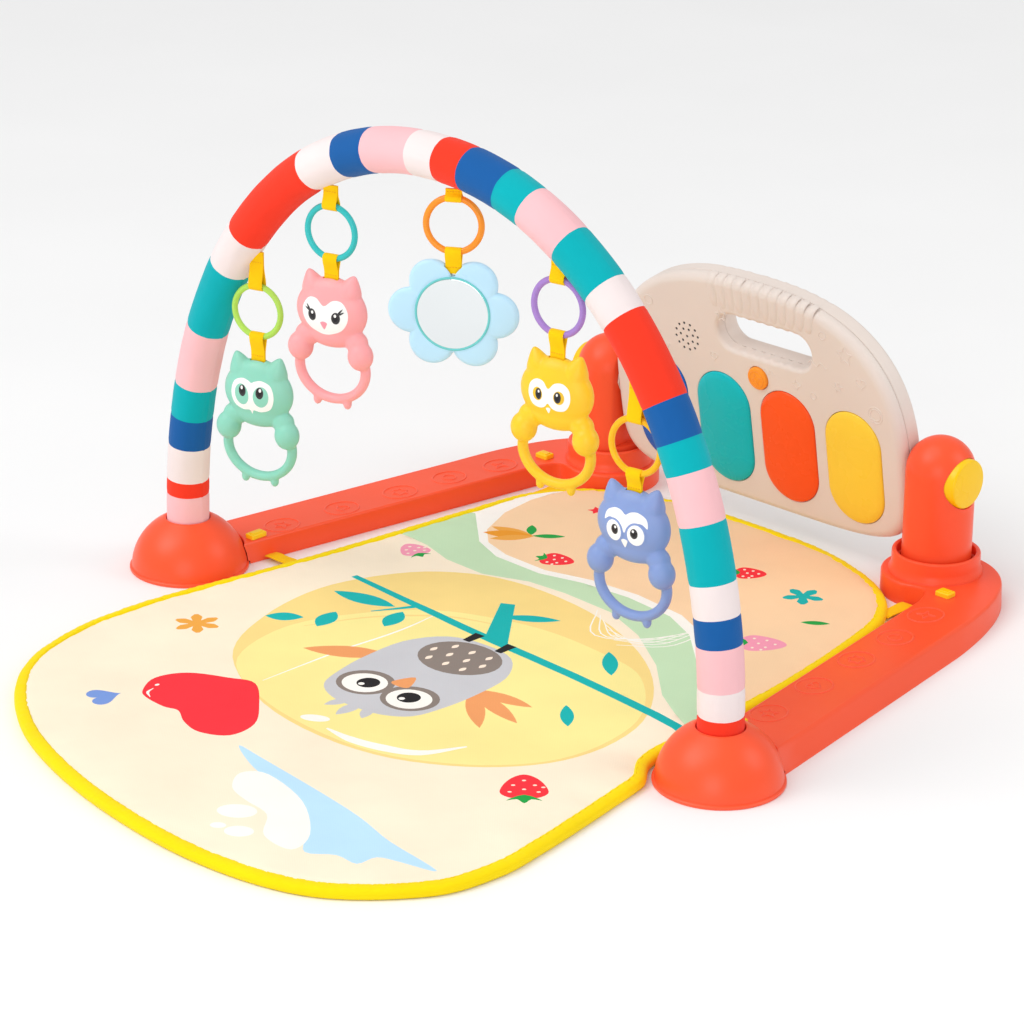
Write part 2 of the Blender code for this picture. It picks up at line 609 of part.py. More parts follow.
def build_ring(name, colour, axis):
    """Hanging ring, with its top on the hinge axis at the origin."""
    rings = []
    for c, s in disc(1.0, 18):
        middle, out = Vector((RING_R * s, 0, RING_R * c - RING_R)), Vector((s, 0, c))
        rings.append([middle + out * (WIRE_R * a) + Vector((0, WIRE_R * b, 0)) for a, b in disc(1.0, 6)])
    loft(f"{name}_ring", rings, material(f"ring_{name}", colour, 0.35), axis, closed=True)


def ellipsoid_rings(half, centre, count, levels):
    """Rings of an ellipsoid from bottom to top, with small flat ends."""
    rings = []
    for i in range(levels + 1):
        t = math.radians(-84 + 168 * i / levels)
        r, z = math.cos(t), math.sin(t)
        rings.append([(centre[0] + half[0] * r * c, centre[1] + half[1] * r * s, centre[2] + half[2] * z)
                      for c, s in disc(1.0, count)])
    return rings


def build_owl(name, colour, axis, top):
    """Teether: round head with ears, two wing tips and an oval grip below. top is the head's height."""
    look = material(f"toy_{name}", colour, 0.4)
    grip = []
    for c, s in disc(1.0, 16):
        middle, out = Vector((0.0318 * s, 0, top - 0.0765 + 0.0262 * c)), Vector((s, 0, c))
        grip.append([middle + out * (0.0042 * a) + Vector((0, 0.0042 * b, 0)) for a, b in disc(1.0, 6)])
    owl = loft(f"{name}_owl", grip, look, axis, closed=True)
    head = ellipsoid_rings((0.0330, 0.0135, 0.0270), (0, 0, top - 0.0270), 12, 6)
    boolean(owl, loft(f"{name}_head_tool", head, look, axis), "UNION")
    for label, side in SIDES:
        base = Vector((side * 0.0165, 0, top - 0.0120))
        tip = Vector((side * 0.0210, 0, top + 0.0030))
        ear = [[base.lerp(tip, f) + Vector((r * c, 0.8 * r * s, 0)) for c, s in disc(1.0, 6)]
               for f, r in ((0, 0.0095), (0.6, 0.0048), (1, 0.0012))]
        boolean(owl, loft(f"{name}_{label}_ear_tool", ear, look, axis), "UNION")
        wing = ellipsoid_rings((0.0112, 0.0100, 0.0122), (side * 0.0290, -0.0035, top - 0.0620), 8, 4)
        boolean(owl, loft(f"{name}_{label}_wing_tool", wing, look, axis), "UNION")
        foot = ellipsoid_rings((0.0040, 0.0038, 0.0042), (side * 0.0140, -0.0006, top - 0.1060), 5, 2)
        boolean(owl, loft(f"{name}_{label}_foot_tool", foot, look, axis), "UNION")
    notch = rounded(RIBBON_W / 2 + 0.0006, 0.0028, 0.0005, steps=1)
    rings = [[(u, v, z) for u, v in notch] for z in (top - 0.0060, top + 0.004)]
    boolean(owl, loft(f"{name}_notch_tool", rings, look, axis))


def flower_outline(depth=0.0, count=42):
    """Six round petals: the furthest point of any petal along each direction."""
    petal = 0.0185 - depth
    points = []
    for i in range(count):
        a = 2 * math.pi * i / count
        way = Vector((math.cos(a), math.sin(a)))
        reach = 0
        for k in range(6):
            middle = Vector((0.0335 * math.cos(k * math.pi / 3), 0.0275 * math.sin(k * math.pi / 3)))
            along = middle.dot(way)
            off = petal ** 2 - (middle.length_squared - along ** 2)
            if off > 0:
                reach = max(reach, along + math.sqrt(off))
        points.append(tuple(way * reach))
    return points


def build_flower(axis, top):
    centre = Vector((0, 0, top - 0.0317))
    glass = 0.0285
    levels = [(0.0040, 0.0016), (0.0024, 0), (-0.0024, 0), (-0.0040, 0.0016)]
    rings = [[Vector(p) + centre for p in facing(flower_outline(d), n)] for n, d in levels]
    seat = disc(glass + GAP, 42)
    rings += [[Vector(p) + centre for p in facing(seat, n)] for n in (-0.0040, -0.0020)]
    look = material("toy_flower", (0.62, 0.84, 0.96), 0.4)
    flower = loft("mirror_flower", rings, look, axis)
    notch = rounded(RIBBON_W / 2 + 0.0006, 0.0026, 0.0005, steps=1)
    rings_cut = [[(u, v, z) for u, v in notch] for z in (top - 0.0016, top + 0.012)]
    boolean(flower, loft("flower_notch_tool", rings_cut, look, axis))
    levels = [(-0.0023, 0), (-0.0038, 0), (-0.0043, 0.0006)]
    rings = [[Vector(p) + centre for p in facing(disc(glass - d, 24), n)] for n, d in levels]
    loft("flower_mirror", rings, material("mirror_film", (0.85, 0.87, 0.90), 0.05, 1.0), axis)


def build_toys():
    for name, x, ring_z, top_z, turn, ring_colour, toy_colour in TOYS:
        hinge_z = ring_z + RING_R
        hang = axis_empty(f"{name}_ring_axis", (x, ARCH_Y, hinge_z), (0, 0, math.radians(turn)))
        under, slope = arch_underside(x)
        rise = under - hinge_z - RIBBON_T - 0.0013 * (1 + slope ** 2)
        ribbon(f"{name}_upper_ribbon", 0, rise, False, hang, slope * math.cos(math.radians(turn)))
        build_ring(name, ring_colour, hang)
        toy_z = ring_z - RING_R
        swing = axis_empty(f"{name}_toy_axis", (0, 0, -2 * RING_R), parent=hang)
        top = top_z - toy_z
        depth = 0.0042 if name != "flower" else 0.0002
        ribbon(f"{name}_lower_ribbon", top - depth, 0, True, swing)
        if name == "flower":
            build_flower(swing, top)
        else:
            build_owl(name, toy_colour, swing, top)


def main():
    for old in list(bpy.data.objects):
        bpy.data.objects.remove(old, do_unlink=True)
    for name, side in SIDES:
        build_rail(name, side)
        build_dome(name, side)
        build_post(name, side)
        build_clips(name, side)
    build_mat()
    tilt = axis_empty("piano_tilt_axis", (0, ARCH_Y + POST_Y, PIVOT_Z), (LEAN, 0, 0))
    build_front_shell(tilt)
    build_back_shell(tilt)
    build_panel_inside(tilt)
    build_controls(tilt)
    build_arch()
    build_toys()


main()
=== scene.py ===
"""Looks of the activity play gym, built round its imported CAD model.

Metres, in the CAD's own frame: +Z up, the mat's round front towards -Y, the piano at +Y. Sizes
that the CAD also uses are repeated here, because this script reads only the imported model.
"""

from math import atan2, copysign, cos, exp, hypot, pi, radians, sin, sqrt, tanh

import bmesh
import bpy
import numpy as np
from mathutils import Matrix, Vector, noise
from mathutils.bvhtree import BVHTree
from mathutils.geometry import delaunay_2d_cdt, interpolate_bezier, tessellate_polygon


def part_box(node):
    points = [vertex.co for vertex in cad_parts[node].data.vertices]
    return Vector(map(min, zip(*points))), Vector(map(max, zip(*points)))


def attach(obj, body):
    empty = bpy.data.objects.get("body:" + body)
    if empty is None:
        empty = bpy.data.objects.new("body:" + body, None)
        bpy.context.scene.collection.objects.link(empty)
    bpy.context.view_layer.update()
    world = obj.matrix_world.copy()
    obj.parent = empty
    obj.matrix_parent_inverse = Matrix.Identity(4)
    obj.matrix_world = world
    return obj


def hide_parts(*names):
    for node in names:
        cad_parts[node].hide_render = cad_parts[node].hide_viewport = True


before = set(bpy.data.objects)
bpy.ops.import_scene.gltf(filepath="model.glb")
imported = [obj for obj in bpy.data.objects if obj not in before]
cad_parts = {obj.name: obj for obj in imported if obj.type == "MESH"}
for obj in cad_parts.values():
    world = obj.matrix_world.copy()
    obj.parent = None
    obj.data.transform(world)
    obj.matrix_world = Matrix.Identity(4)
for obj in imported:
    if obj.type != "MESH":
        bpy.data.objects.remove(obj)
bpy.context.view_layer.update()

ARCH_Y = -0.0430            # the arch's plane; lengths along the gym are given from it
SIDES = (("left", -1), ("right", 1))
TURN = 2 * pi


def tenths(*values):
    """Points from a row of coordinates in tenths of a millimetre."""
    return [(u / 10000, v / 10000) for u, v in zip(values[::2], values[1::2])]


def link(made):
    bpy.context.scene.collection.objects.link(made)
    return made


# ---------------------------------------------------------------- materials

RED_ORANGE = (1.0, 0.095, 0.028)
YELLOW = (1.0, 0.61, 0.0)


def tone(*levels):
    """Linear colour from display levels, 0 to 255."""
    return tuple(((v / 255 + 0.055) / 1.055) ** 2.4 for v in levels)


class Graph:
    """A material's node tree with short calls for adding and joining nodes."""

    def __init__(self, name):
        self.material = bpy.data.materials.new(name)
        self.material.use_nodes = True
        self.tree = self.material.node_tree
        self.shader = self.tree.nodes["Principled BSDF"]

    def add(self, kind, inputs=None, **settings):
        node = self.tree.nodes.new("ShaderNode" + kind)
        for key, value in settings.items():
            setattr(node, key, value)
        for key, value in (inputs or {}).items():
            self.feed(node.inputs[key], value)
        return node

    def feed(self, socket, value):
        if isinstance(value, bpy.types.NodeSocket):
            self.tree.links.new(value, socket)
        elif isinstance(value, bpy.types.Node):
            self.tree.links.new(value.outputs[0], socket)
        else:
            socket.default_value = value

    def math(self, operation, a, b=0.0):
        return self.add("Math", {0: a, 1: b}, operation=operation).outputs[0]

    def place(self):
        return self.add("TexCoord").outputs["Object"]

    def noise(self, scale, detail=2.0):
        inputs = {"Scale": scale, "Detail": detail, "Vector": self.place()}
        return self.add("TexNoise", inputs).outputs[0]

    def ramp(self, value, low, high, to_low, to_high):
        inputs = {"Value": value, "From Min": low, "From Max": high, "To Min": to_low, "To Max": to_high}
        return self.add("MapRange", inputs).outputs[0]

    def mix(self, factor, a, b, blend="MIX"):
        node = self.add("Mix", data_type="RGBA", blend_type=blend)
        for socket, value in (("Factor", factor), (6, a), (7, b)):
            self.feed(node.inputs[socket], (*value, 1.0) if isinstance(value, tuple) else value)
        return node.outputs[2]

    def bump(self, height, strength, distance, normal=None):
        inputs = {"Height": height, "Strength": strength, "Distance": distance}
        if normal:
            inputs["Normal"] = normal
        return self.add("Bump", inputs).outputs[0]

    def set(self, **sockets):
        for key, value in sockets.items():
            self.feed(self.shader.inputs[key.replace("_", " ")], value)
        return self.material


def plastic(name, colour, rough=0.34, grain=0.25, glow=0.0, shine=0.32):
    """Moulded plastic: fine grain, slow colour drift, and convex edges painted slightly paler as a highlight.
    """
    g = Graph(name)
    drift = g.ramp(g.noise(9.0), 0.3, 0.7, 0.0, 1.0)
    base = g.mix(drift, tuple(c * 0.955 for c in colour), tuple(min(1.0, c * 1.02) for c in colour))
    # Painted highlight: convex edges, found by pointiness, are mixed towards a paler colour.
    edge = g.ramp(g.add("NewGeometry").outputs["Pointiness"], 0.53, 0.60, 0.0, 0.16)
    edge_highlighted = g.mix(edge, base, tuple(min(1.0, 0.75 * c + 0.25) for c in colour))
    grit = g.noise(1900.0, 3.0)
    smear = g.ramp(g.noise(38.0, 3.0), 0.3, 0.7, rough - 0.03, rough + 0.04)
    return g.set(Base_Color=edge_highlighted, Roughness=smear, Normal=g.bump(grit, grain, 0.00012),
                 Subsurface_Weight=glow, Subsurface_Scale=0.004, Specular_IOR_Level=shine)


def recolour(made, look):
    made.data.materials.clear()
    made.data.materials.append(look)


def stand_in(names, look):
    """Gives CAD nodes that stay as they are a better material."""
    for name in names:
        recolour(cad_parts[name], look)


# ---------------------------------------------------------------- camera, floor and light

# The camera fitted to the photo: its place, then yaw, pitch and roll in degrees, and its lens in mm
CAMERA_AT, CAMERA_ANGLES, CAMERA_LENS = (1.9065, -1.9519, 1.2041), (43.703, -21.637, 0.478), 128.8
FLOOR_HALF, WORLD_POWER = 9, 0.60
SKY_POWER, SKY_SPREAD, SKY_WAY = 0.85, radians(50), (0.35, 0.45, -1.0)
# name, place, target, size in metres and power in watts
LAMPS = [("key", (-1.1, -1.9, 2.3), (0, 0, 0.15), 1.6, 20),
         ("rim", (1.9, 1.4, 1.7), (0, 0.1, 0.2), 1.2, 12),
         ("front", (1.7, -2.6, 0.9), (0, 0, 0.2), 1.6, 20)]


def aim(made, way):
    made.rotation_euler = Vector(way).to_track_quat("-Z", "Y").to_euler()


def build_stage():
    yaw, pitch, roll = (radians(a) for a in CAMERA_ANGLES)
    ahead = Vector((-sin(yaw) * cos(pitch), cos(yaw) * cos(pitch), sin(pitch)))
    right = Vector((cos(yaw), sin(yaw), 0))
    up = right.cross(ahead)
    axes = right * cos(roll) + up * sin(roll), up * cos(roll) - right * sin(roll), -ahead
    camera = link(bpy.data.objects.new("camera", bpy.data.cameras.new("camera")))
    camera.data.sensor_width, camera.data.lens, camera.data.clip_end = 36.0, CAMERA_LENS, 30.0
    camera.matrix_world = Matrix.Translation(CAMERA_AT) @ Matrix(axes).transposed().to_4x4()
    bpy.context.scene.camera = camera

    mesh = bpy.data.meshes.new("floor")
    corners = [(FLOOR_HALF * x, FLOOR_HALF * y, 0) for x, y in ((-1, -1), (1, -1), (1, 1), (-1, 1))]
    mesh.from_pydata(corners, [], [(0, 1, 2, 3)])
    g = Graph("floor")
    paper = g.mix(g.ramp(g.noise(3.0), 0.3, 0.7, 0.0, 1.0), (0.92, 0.92, 0.92), (0.94, 0.94, 0.94))
    mesh.materials.append(g.set(Base_Color=paper, Roughness=0.75))
    link(bpy.data.objects.new("floor", mesh))

    bpy.context.scene.view_settings.view_transform = "Standard"
    world = bpy.context.scene.world = bpy.data.worlds.new("studio")
    world.use_nodes = True
    backdrop = world.node_tree.nodes["Background"]
    backdrop.inputs[0].default_value, backdrop.inputs[1].default_value = (1.0, 1.0, 1.0, 1.0), WORLD_POWER
    for name, place, target, size, power in LAMPS:
        light = link(bpy.data.objects.new(name, bpy.data.lights.new(name, "AREA")))
        light.data.shape, light.data.size, light.data.energy = "SQUARE", size, power
        light.location = place
        aim(light, Vector(target) - Vector(place))
    sky = link(bpy.data.objects.new("sky", bpy.data.lights.new("sky", "SUN")))
    sky.data.energy, sky.data.angle = SKY_POWER, SKY_SPREAD
    aim(sky, SKY_WAY)


# ---------------------------------------------------------------- shapes


class Shape:
    """Points and faces of one piece, gathered from several closed skins."""

    def __init__(self):
        self.points, self.faces, self.looks = [], [], []

    def skin(self, points, faces, look=0):
        start = len(self.points)
        self.points += [tuple(p) for p in points]
        self.faces += [tuple(start + i for i in face) for face in faces]
        self.looks += [look] * len(faces)

    def loft(self, rings, closed=False, look=0):
        """Joins matching rings and returns itself; an open loft gets a cap at each end."""
        count, points, faces = len(rings[0]), [], []
        for ring in rings:
            points += ring
        pairs = [(i, i + 1) for i in range(len(rings) - 1)]
        if closed:
            pairs.append((len(rings) - 1, 0))
        else:
            faces.append(tuple(range(count))[::-1])
            last = (len(rings) - 1) * count
            faces.append(tuple(range(last, last + count)))
        for a, b in pairs:
            for i in range(count):
                j = (i + 1) % count
                faces.append((a * count + i, a * count + j, b * count + j, b * count + i))
        self.skin(points, faces, look)
        return self

    def plate(self, borders, holes):
        """Two flat faces with holes. Each border or hole is a list of rings that runs round its
        edge from the front face to the back face. Returns itself."""
        points, faces, front, back = [], [], [], []
        for rings in [borders] + holes:
            count, start = len(rings[0]), len(points)
            for ring in rings:
                points += ring
            for a in range(len(rings) - 1):
                for i in range(count):
                    j, low = (i + 1) % count, start + a * count
                    faces.append((low + i, low + j, low + count + j, low + count + i))
            front.append(list(range(start, start + count)))
            last = start + (len(rings) - 1) * count
            back.append(list(range(last, last + count)))
        for loops in (front, back):
            flat = [i for loop in loops for i in loop]
            tris = tessellate_polygon([[Vector(points[i]) for i in loop] for loop in loops])
            faces += [tuple(flat[k] for k in tri) for tri in tris]
        self.skin(points, faces)
        return self

    def piece(self, name, body, looks, slot=None, stands_for=(), sharp=35.0, weighted=False):
        """Makes the object, with its normals outwards, and lets it ride on a body."""
        bm = bmesh.new()
        verts = [bm.verts.new(p) for p in self.points]
        for face, look in zip(self.faces, self.looks):
            new = bm.faces.new([verts[i] for i in face])
            new.material_index, new.smooth = look, True
        bmesh.ops.recalc_face_normals(bm, faces=bm.faces)
        mesh = bpy.data.meshes.new(name)
        bm.to_mesh(mesh)
        bm.free()
        for look in looks if isinstance(looks, (list, tuple)) else [looks]:
            mesh.materials.append(look)
        mesh.set_sharp_from_angle(angle=radians(sharp))
        made = link(bpy.data.objects.new(name, mesh))
        if weighted:
            made.modifiers.new("even_normals", "WEIGHTED_NORMAL").keep_sharp = True
        return mount(made, body, stands_for)


def mount(made, body, stands_for=()):
    """Lets a piece ride on a body and hides the CAD nodes that it replaces."""
    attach(made, body)
    if stands_for:
        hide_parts(*stands_for)
    return made


def bake(made):
    """Applies every modifier on a piece."""
    graph = bpy.context.evaluated_depsgraph_get()
    graph.update()
    old = made.data
    mesh = bpy.data.meshes.new_from_object(made.evaluated_get(graph), depsgraph=graph)
    made.modifiers.clear()
    made.data = mesh
    mesh.name = made.name
    bpy.data.meshes.remove(old)


def cut_away(made, cutter, body, look, sharp):
    """Takes a closed shape out of a piece, which gets one look."""
    tool = cutter.piece("cutter", body, look)
    cut = made.modifiers.new("cut", "BOOLEAN")
    cut.operation, cut.object, cut.solver = "DIFFERENCE", tool, "EXACT"
    bake(made)
    bpy.data.objects.remove(tool)
    made.data.set_sharp_from_angle(angle=radians(sharp))
    recolour(made, look)


def disc(radius, count, centre=(0, 0)):
    turns = [TURN * i / count for i in range(count)]
    return [(centre[0] + radius * cos(t), centre[1] + radius * sin(t)) for t in turns]


def blob(centre, half_w, half_h, turn=0.0, count=28):
    """Ellipse, turned."""
    c, s = cos(turn), sin(turn)
    return [(centre[0] + u * half_w * c - v * half_h * s, centre[1] + u * half_w * s + v * half_h * c)
            for u, v in disc(1.0, count)]


def rounded(half_w, half_h, r, centre=(0, 0), steps=6):
    """Rectangle with round corners."""
    points = []
    for i, (sx, sy) in enumerate(((1, 1), (-1, 1), (-1, -1), (1, -1))):
        for k in range(steps + 1):
            t = pi / 2 * (i + k / steps)
            points.append((centre[0] + sx * (half_w - r) + r * cos(t),
                           centre[1] + sy * (half_h - r) + r * sin(t)))
    return points


def capsule(half_w, half_h, centre=(0, 0), steps=14):
    return rounded(half_w, half_h, min(half_w, half_h) - 1e-5, centre, steps)


def inset(points, depth):
    """Moves a counter-clockwise outline inwards."""
    moved = []
    for i, (u, v) in enumerate(points):
        before, after = Vector(points[i - 1]), Vector(points[(i + 1) % len(points)])
        along = (after - before).normalized()
        moved.append((u - along.y * depth, v + along.x * depth))
    return moved


def at_height(outline, h):
    return [(u, v, h) for u, v in outline]


def quarter(start, radius, way=1, steps=5):
    """(height, inset) pairs of a quarter-round edge that starts upright and ends flat."""
    turns = [pi / 2 * i / steps for i in range(steps + 1)]
    return [(start + way * radius * sin(t), radius * (1 - cos(t))) for t in turns]


def lathe(profile, centre):
    """Rings about an upright axis from (radius, height) pairs."""
    return [[(centre[0] + u, centre[1] + v, z) for u, v in disc(r, 96)] for r, z in profile]


def between(a, b, c, d, t):
    """Catmull-Rom point at t between b and c."""
    return (2 * b + (c - a) * t + (2 * a - 5 * b + 4 * c - d) * t ** 2
            + (3 * b - a - 3 * c + d) * t ** 3) / 2


def slopes(line):
    """Each point of an open line, with the unit direction of its first two coordinates there."""
    for i, p in enumerate(line):
        a, b = line[max(i - 1, 0)], line[min(i + 1, len(line) - 1)]
        du, dv = b[0] - a[0], b[1] - a[1]
        size = hypot(du, dv)
        yield p, du / size, dv / size


def smooth_loop(points, steps):
    """Closed smooth curve through flat points."""
    curve, count = [], len(points)
    for i in range(count):
        near = [Vector(points[(i + k) % count]) for k in (-1, 0, 1, 2)]
        curve += [tuple(between(*near, k / steps)) for k in range(steps)]
    return curve


# ---------------------------------------------------------------- base rails, domes and posts

ARCH_HALF = 0.300
DOME_R, DOME_LIP_R, DOME_LIP_H, DOME_H = 0.0495, 0.0510, 0.0030, 0.0497
RAIL_INNER, RAIL_OUTER, RAIL_SPLAY, RAIL_TAPER, RAIL_H = 0.272, 0.336, 0.153, 0.008, 0.020
PAD_R, OUTER_BEND, INNER_BEND = 0.046, 0.310, 0.345     # each edge is straight up to its bend
POST_X, POST_Y, POST_R, POST_TOP, POST_FLAT = 0.187, 0.409, 0.0296, 0.139, 0.0215
PIVOT_Z = 0.104
CAP_R = 0.0212


def dome_radius(z):
    if z <= DOME_LIP_H:
        return DOME_LIP_R
    return DOME_R * sqrt(1 - (z / DOME_H) ** 2)


def rail_outline(z, depth=0.0):
    """Right rail's outline at height z, moved inwards by depth, counter-clockwise."""
    ring = dome_radius(z) + 0.0009 + depth
    outer_edge = RAIL_OUTER - RAIL_TAPER * min(z / RAIL_H, 1) - depth
    inner_edge = RAIL_INNER + depth

    def on_dome(edge):
        offset = edge - ARCH_HALF
        root = sqrt(ring ** 2 * (1 + RAIL_SPLAY ** 2) - offset ** 2)
        y = (offset * RAIL_SPLAY + root) / (1 + RAIL_SPLAY ** 2)
        return atan2(y, offset - RAIL_SPLAY * y)

    first, last = on_dome(inner_edge), on_dome(outer_edge)
    arc = [first + (last - first) * i / 16 for i in range(17)]
    points = [(ARCH_HALF + ring * cos(t), ring * sin(t)) for t in arc]
    corner = Vector((outer_edge - RAIL_SPLAY * OUTER_BEND, OUTER_BEND))
    start = Vector(points[-1])
    points += [tuple(start.lerp(corner, i / 12)) for i in range(1, 12)]
    rear = Vector((POST_X, POST_Y + PAD_R - depth))
    pulls = Vector((0.270 - depth, 0.405 - depth / 2)), Vector((0.240, rear.y))
    points += [(p.x, p.y) for p in interpolate_bezier(corner, *pulls, rear, 28)]
    radius = PAD_R - depth
    turns = [radians(90 + 5 * i) for i in range(1, 37)]
    points += [(POST_X + radius * cos(t), POST_Y + radius * sin(t)) for t in turns]
    notch = Vector((POST_X + 0.024, POST_Y - 0.039))
    low = Vector((inner_edge - RAIL_SPLAY * INNER_BEND, INNER_BEND))
    points += [(p.x, p.y) for p in interpolate_bezier(Vector(points[-1]), notch, notch, low, 18)[1:]]
    first = Vector(points[0])
    points += [tuple(low.lerp(first, i / 12)) for i in range(1, 12)]
    return points


def raised_line(shape, path, z, half, rise, closed=True):
    """Low rounded bead that follows a flat path on a level surface."""
    count, rings = len(path), []
    for i, p in enumerate(path):
        before = Vector(path[i - 1] if closed or i else path[0])
        after = Vector(path[(i + 1) % count] if closed or i < count - 1 else path[-1])
        side = (after - before).normalized()
        normal = Vector((side.y, -side.x))
        points = [(Vector(p) + normal * (half * c), z + rise * s) for c, s in disc(1.0, 8)]
        rings.append([(q.x, q.y, h) for q, h in points])
    shape.loft(rings, closed=closed)


def star_outline(centre, outer, inner, tips, turn, steps):
    points = []
    for i in range(2 * tips):
        r = outer if i % 2 == 0 else inner
        t = turn + pi * i / tips
        points.append((centre[0] + r * cos(t), centre[1] + r * sin(t)))
    return smooth_loop(points, steps)


def heart_outline(centre, size, turn=0.0):
    points = []
    for t in (TURN * i / 40 for i in range(40)):
        x = 16 * sin(t) ** 3
        y = 13 * cos(t) - 5 * cos(2 * t) - 2 * cos(3 * t) - cos(4 * t)
        u, v = x * size / 17, y * size / 17
        points.append((centre[0] + u * cos(turn) - v * sin(turn),
                       centre[1] + u * sin(turn) + v * cos(turn)))
    return points[::-1]


def rail_marks(shape, side):
    """Shallow moulded ovals along the rail, each round a small plain figure."""
    places = tenths(2757, 858, 2680, 1503, 2595, 2133, 2540, 2698, 2430, 3240)
    spots = [(side * x, ARCH_Y + y) for x, y in places]
    figures = [star_outline(spots[0], 0.0075, 0.0038, 5, 0.9, 3),
               heart_outline(spots[1], 0.0065, pi / 2 * side),
               star_outline(spots[2], 0.0072, 0.0052, 6, 0.3, 5), disc(0.0058, 28, spots[3]),
               star_outline(spots[4], 0.0078, 0.0030, 4, 0.4, 3)]
    for spot, figure in zip(spots, figures):
        raised_line(shape, blob(spot, 0.0135, 0.0165, 0.0, 48), RAIL_H, 0.0009, 0.0007)
        raised_line(shape, figure, RAIL_H, 0.0008, 0.0007)


def build_rail(name, side, red):
    def ring(z, depth):
        return [(side * x, ARCH_Y + y, z) for x, y in rail_outline(z, depth)]

    levels = [(0.0, 0.0004), (0.0006, 0.0), (DOME_LIP_H, 0.0), (0.0032, 0.0), (0.0105, 0.0)]
    shape = Shape().loft([ring(z, d) for z, d in levels + quarter(RAIL_H - 0.0024, 0.0024)])
    rail_marks(shape, side)
    post = (side * POST_X, ARCH_Y + POST_Y)
    collar = tenths(400, 190, 400, 212, 392, 224, 380, 250, 376, 280, 375, 362, 371, 374, 362, 380,
                    346, 380, 337, 375, 333, 364, 331, 300, 316, 292, 312, 285, 312, 190)
    shape.loft(lathe(collar, post), closed=True)
    shape.piece(f"{name}_rail", "base", red, "base_plastic", (f"{name}_rail_shell",), weighted=True)


def build_dome(name, side, red):
    profile = tenths(470, 0, 504, 0, 510, 6, 510, 24, 505, 30)
    profile += [(dome_radius(z), z) for z in np.linspace(0.0034, 0.0436, 26)]
    profile += tenths(216, 450, 207, 456, 196, 457, 190, 453, 188, 445, 188, 400, 132, 400, 132, 125,
                      160, 125, 160, 372)
    profile += [(dome_radius(z) - 0.0028, z) for z in np.linspace(0.0330, 0.0040, 10)]
    shape = Shape().loft(lathe(profile, (side * ARCH_HALF, ARCH_Y)), closed=True)
    shape.piece(f"{name}_foot", "base", red, "base_plastic", (f"{name}_dome",))


def build_post(name, side, red, yellow):
    """Column with a flat towards the piano, a round head and a yellow release button."""
    count, shoulder = 96, POST_TOP - POST_R
    post = Vector((side * POST_X, ARCH_Y + POST_Y))

    def ring(z, radius, flat):
        return [(post.x + side * max(u, -flat), post.y + v, z) for u, v in disc(radius, count)]

    rings = [ring(0.0050, POST_R - 0.0005, 1), ring(0.0300, POST_R, 1), ring(0.0400, POST_R, 1),
             ring(0.0406, POST_R, POST_FLAT)]
    rings += [ring(z, POST_R, POST_FLAT) for z in np.linspace(0.050, shoulder, 8)]
    for i in range(1, 21):
        t = radians(89.0 * i / 20)
        rings.append(ring(shoulder + POST_R * sin(t), POST_R * cos(t), POST_FLAT))
    made = Shape().loft(rings).piece(f"{name}_column", "base", red, "base_plastic", (f"{name}_post",))

    def across(profile):
        """Rings about the pivot's level axis from (radius, distance from the post's axis) pairs."""
        return [[(side * (POST_X + x), post.y + u, PIVOT_Z + v) for u, v in disc(r, 72)]
                for r, x in profile]

    well = Shape().loft(across([(CAP_R + 0.0004, 0.0055), (CAP_R + 0.0004, 0.040)]))
    cut_away(made, well, "base", red, 35)
    profile = [(CAP_R - 0.0010, 0.0105), (CAP_R, 0.0115), (CAP_R, 0.0276)]
    profile += [(CAP_R - d, z) for z, d in quarter(0.0276, 0.0022)[1:]]
    profile += [(r, 0.0298 + 0.0010 * (1 - (r / 0.019) ** 2)) for r in np.linspace(0.0180, 0.0010, 12)]
    Shape().loft(across(profile)).piece(f"{name}_button", f"{name}_release", yellow, "yellow_plastic",
                                        (f"{name}_release_button",))


def build_clips(name, side, yellow):
    for label, x, y, half_w, half_l in (("front", 0.2720, 0.052, 0.0050, 0.0085),
                                        ("rear", 0.2290, 0.368, 0.0070, 0.0055)):
        shape, place = Shape(), (side * x, ARCH_Y + y)
        for smaller, corner, low, top, edge in ((0.0, 0.0016, 0.0002, 0.0028, 0.0014),
                                                (0.0022, 0.0012, 0.0030, 0.0044, 0.0006)):
            outline = rounded(half_w - smaller, half_l - smaller, corner, place)
            levels = [(RAIL_H + low, 0.0)] + quarter(RAIL_H + top, edge)
            shape.loft([at_height(inset(outline, d), z) for z, d in levels])
        shape.piece(f"{name}_{label}_snap", "base", yellow, "yellow_plastic", (f"{name}_{label}_clip",))


def build_base():
    red = plastic("frame_plastic", RED_ORANGE)
    yellow = plastic("button_plastic", YELLOW, 0.3)
    stand_in([f"{name}_rail_cover" for name, _ in SIDES], plastic("cover_plastic", (0.70, 0.06, 0.02), 0.5))
    for name, side in SIDES:
        build_rail(name, side, red)
        build_dome(name, side, red)
        build_post(name, side, red, yellow)
        build_clips(name, side, yellow)


# ---------------------------------------------------------------- arch sleeve

ARCH_RISE, ARCH_SPRING, ARCH_POWER, SLEEVE_R = 0.382, 0.043, 2.1, 0.018
SLEEVE_COUNT, SLEEVE_STEP = 72, 0.0030              # points round the tube, and length between rings
SEAM_PINCH, SEAM_HALF = 0.00035, 0.0016             # where two stripes are sewn together
RIDGE_RISE, RIDGE_HALF = 0.0007, 0.045              # lengthwise seam on the inside; half width in radians
FABRIC_COLOURS = {
    "pink": (0.96, 0.545, 0.575), "red": (0.96, 0.045, 0.018), "white": (0.90, 0.79, 0.78),
    "navy": (0.009, 0.112, 0.375), "teal": (0.0, 0.44, 0.49),
}
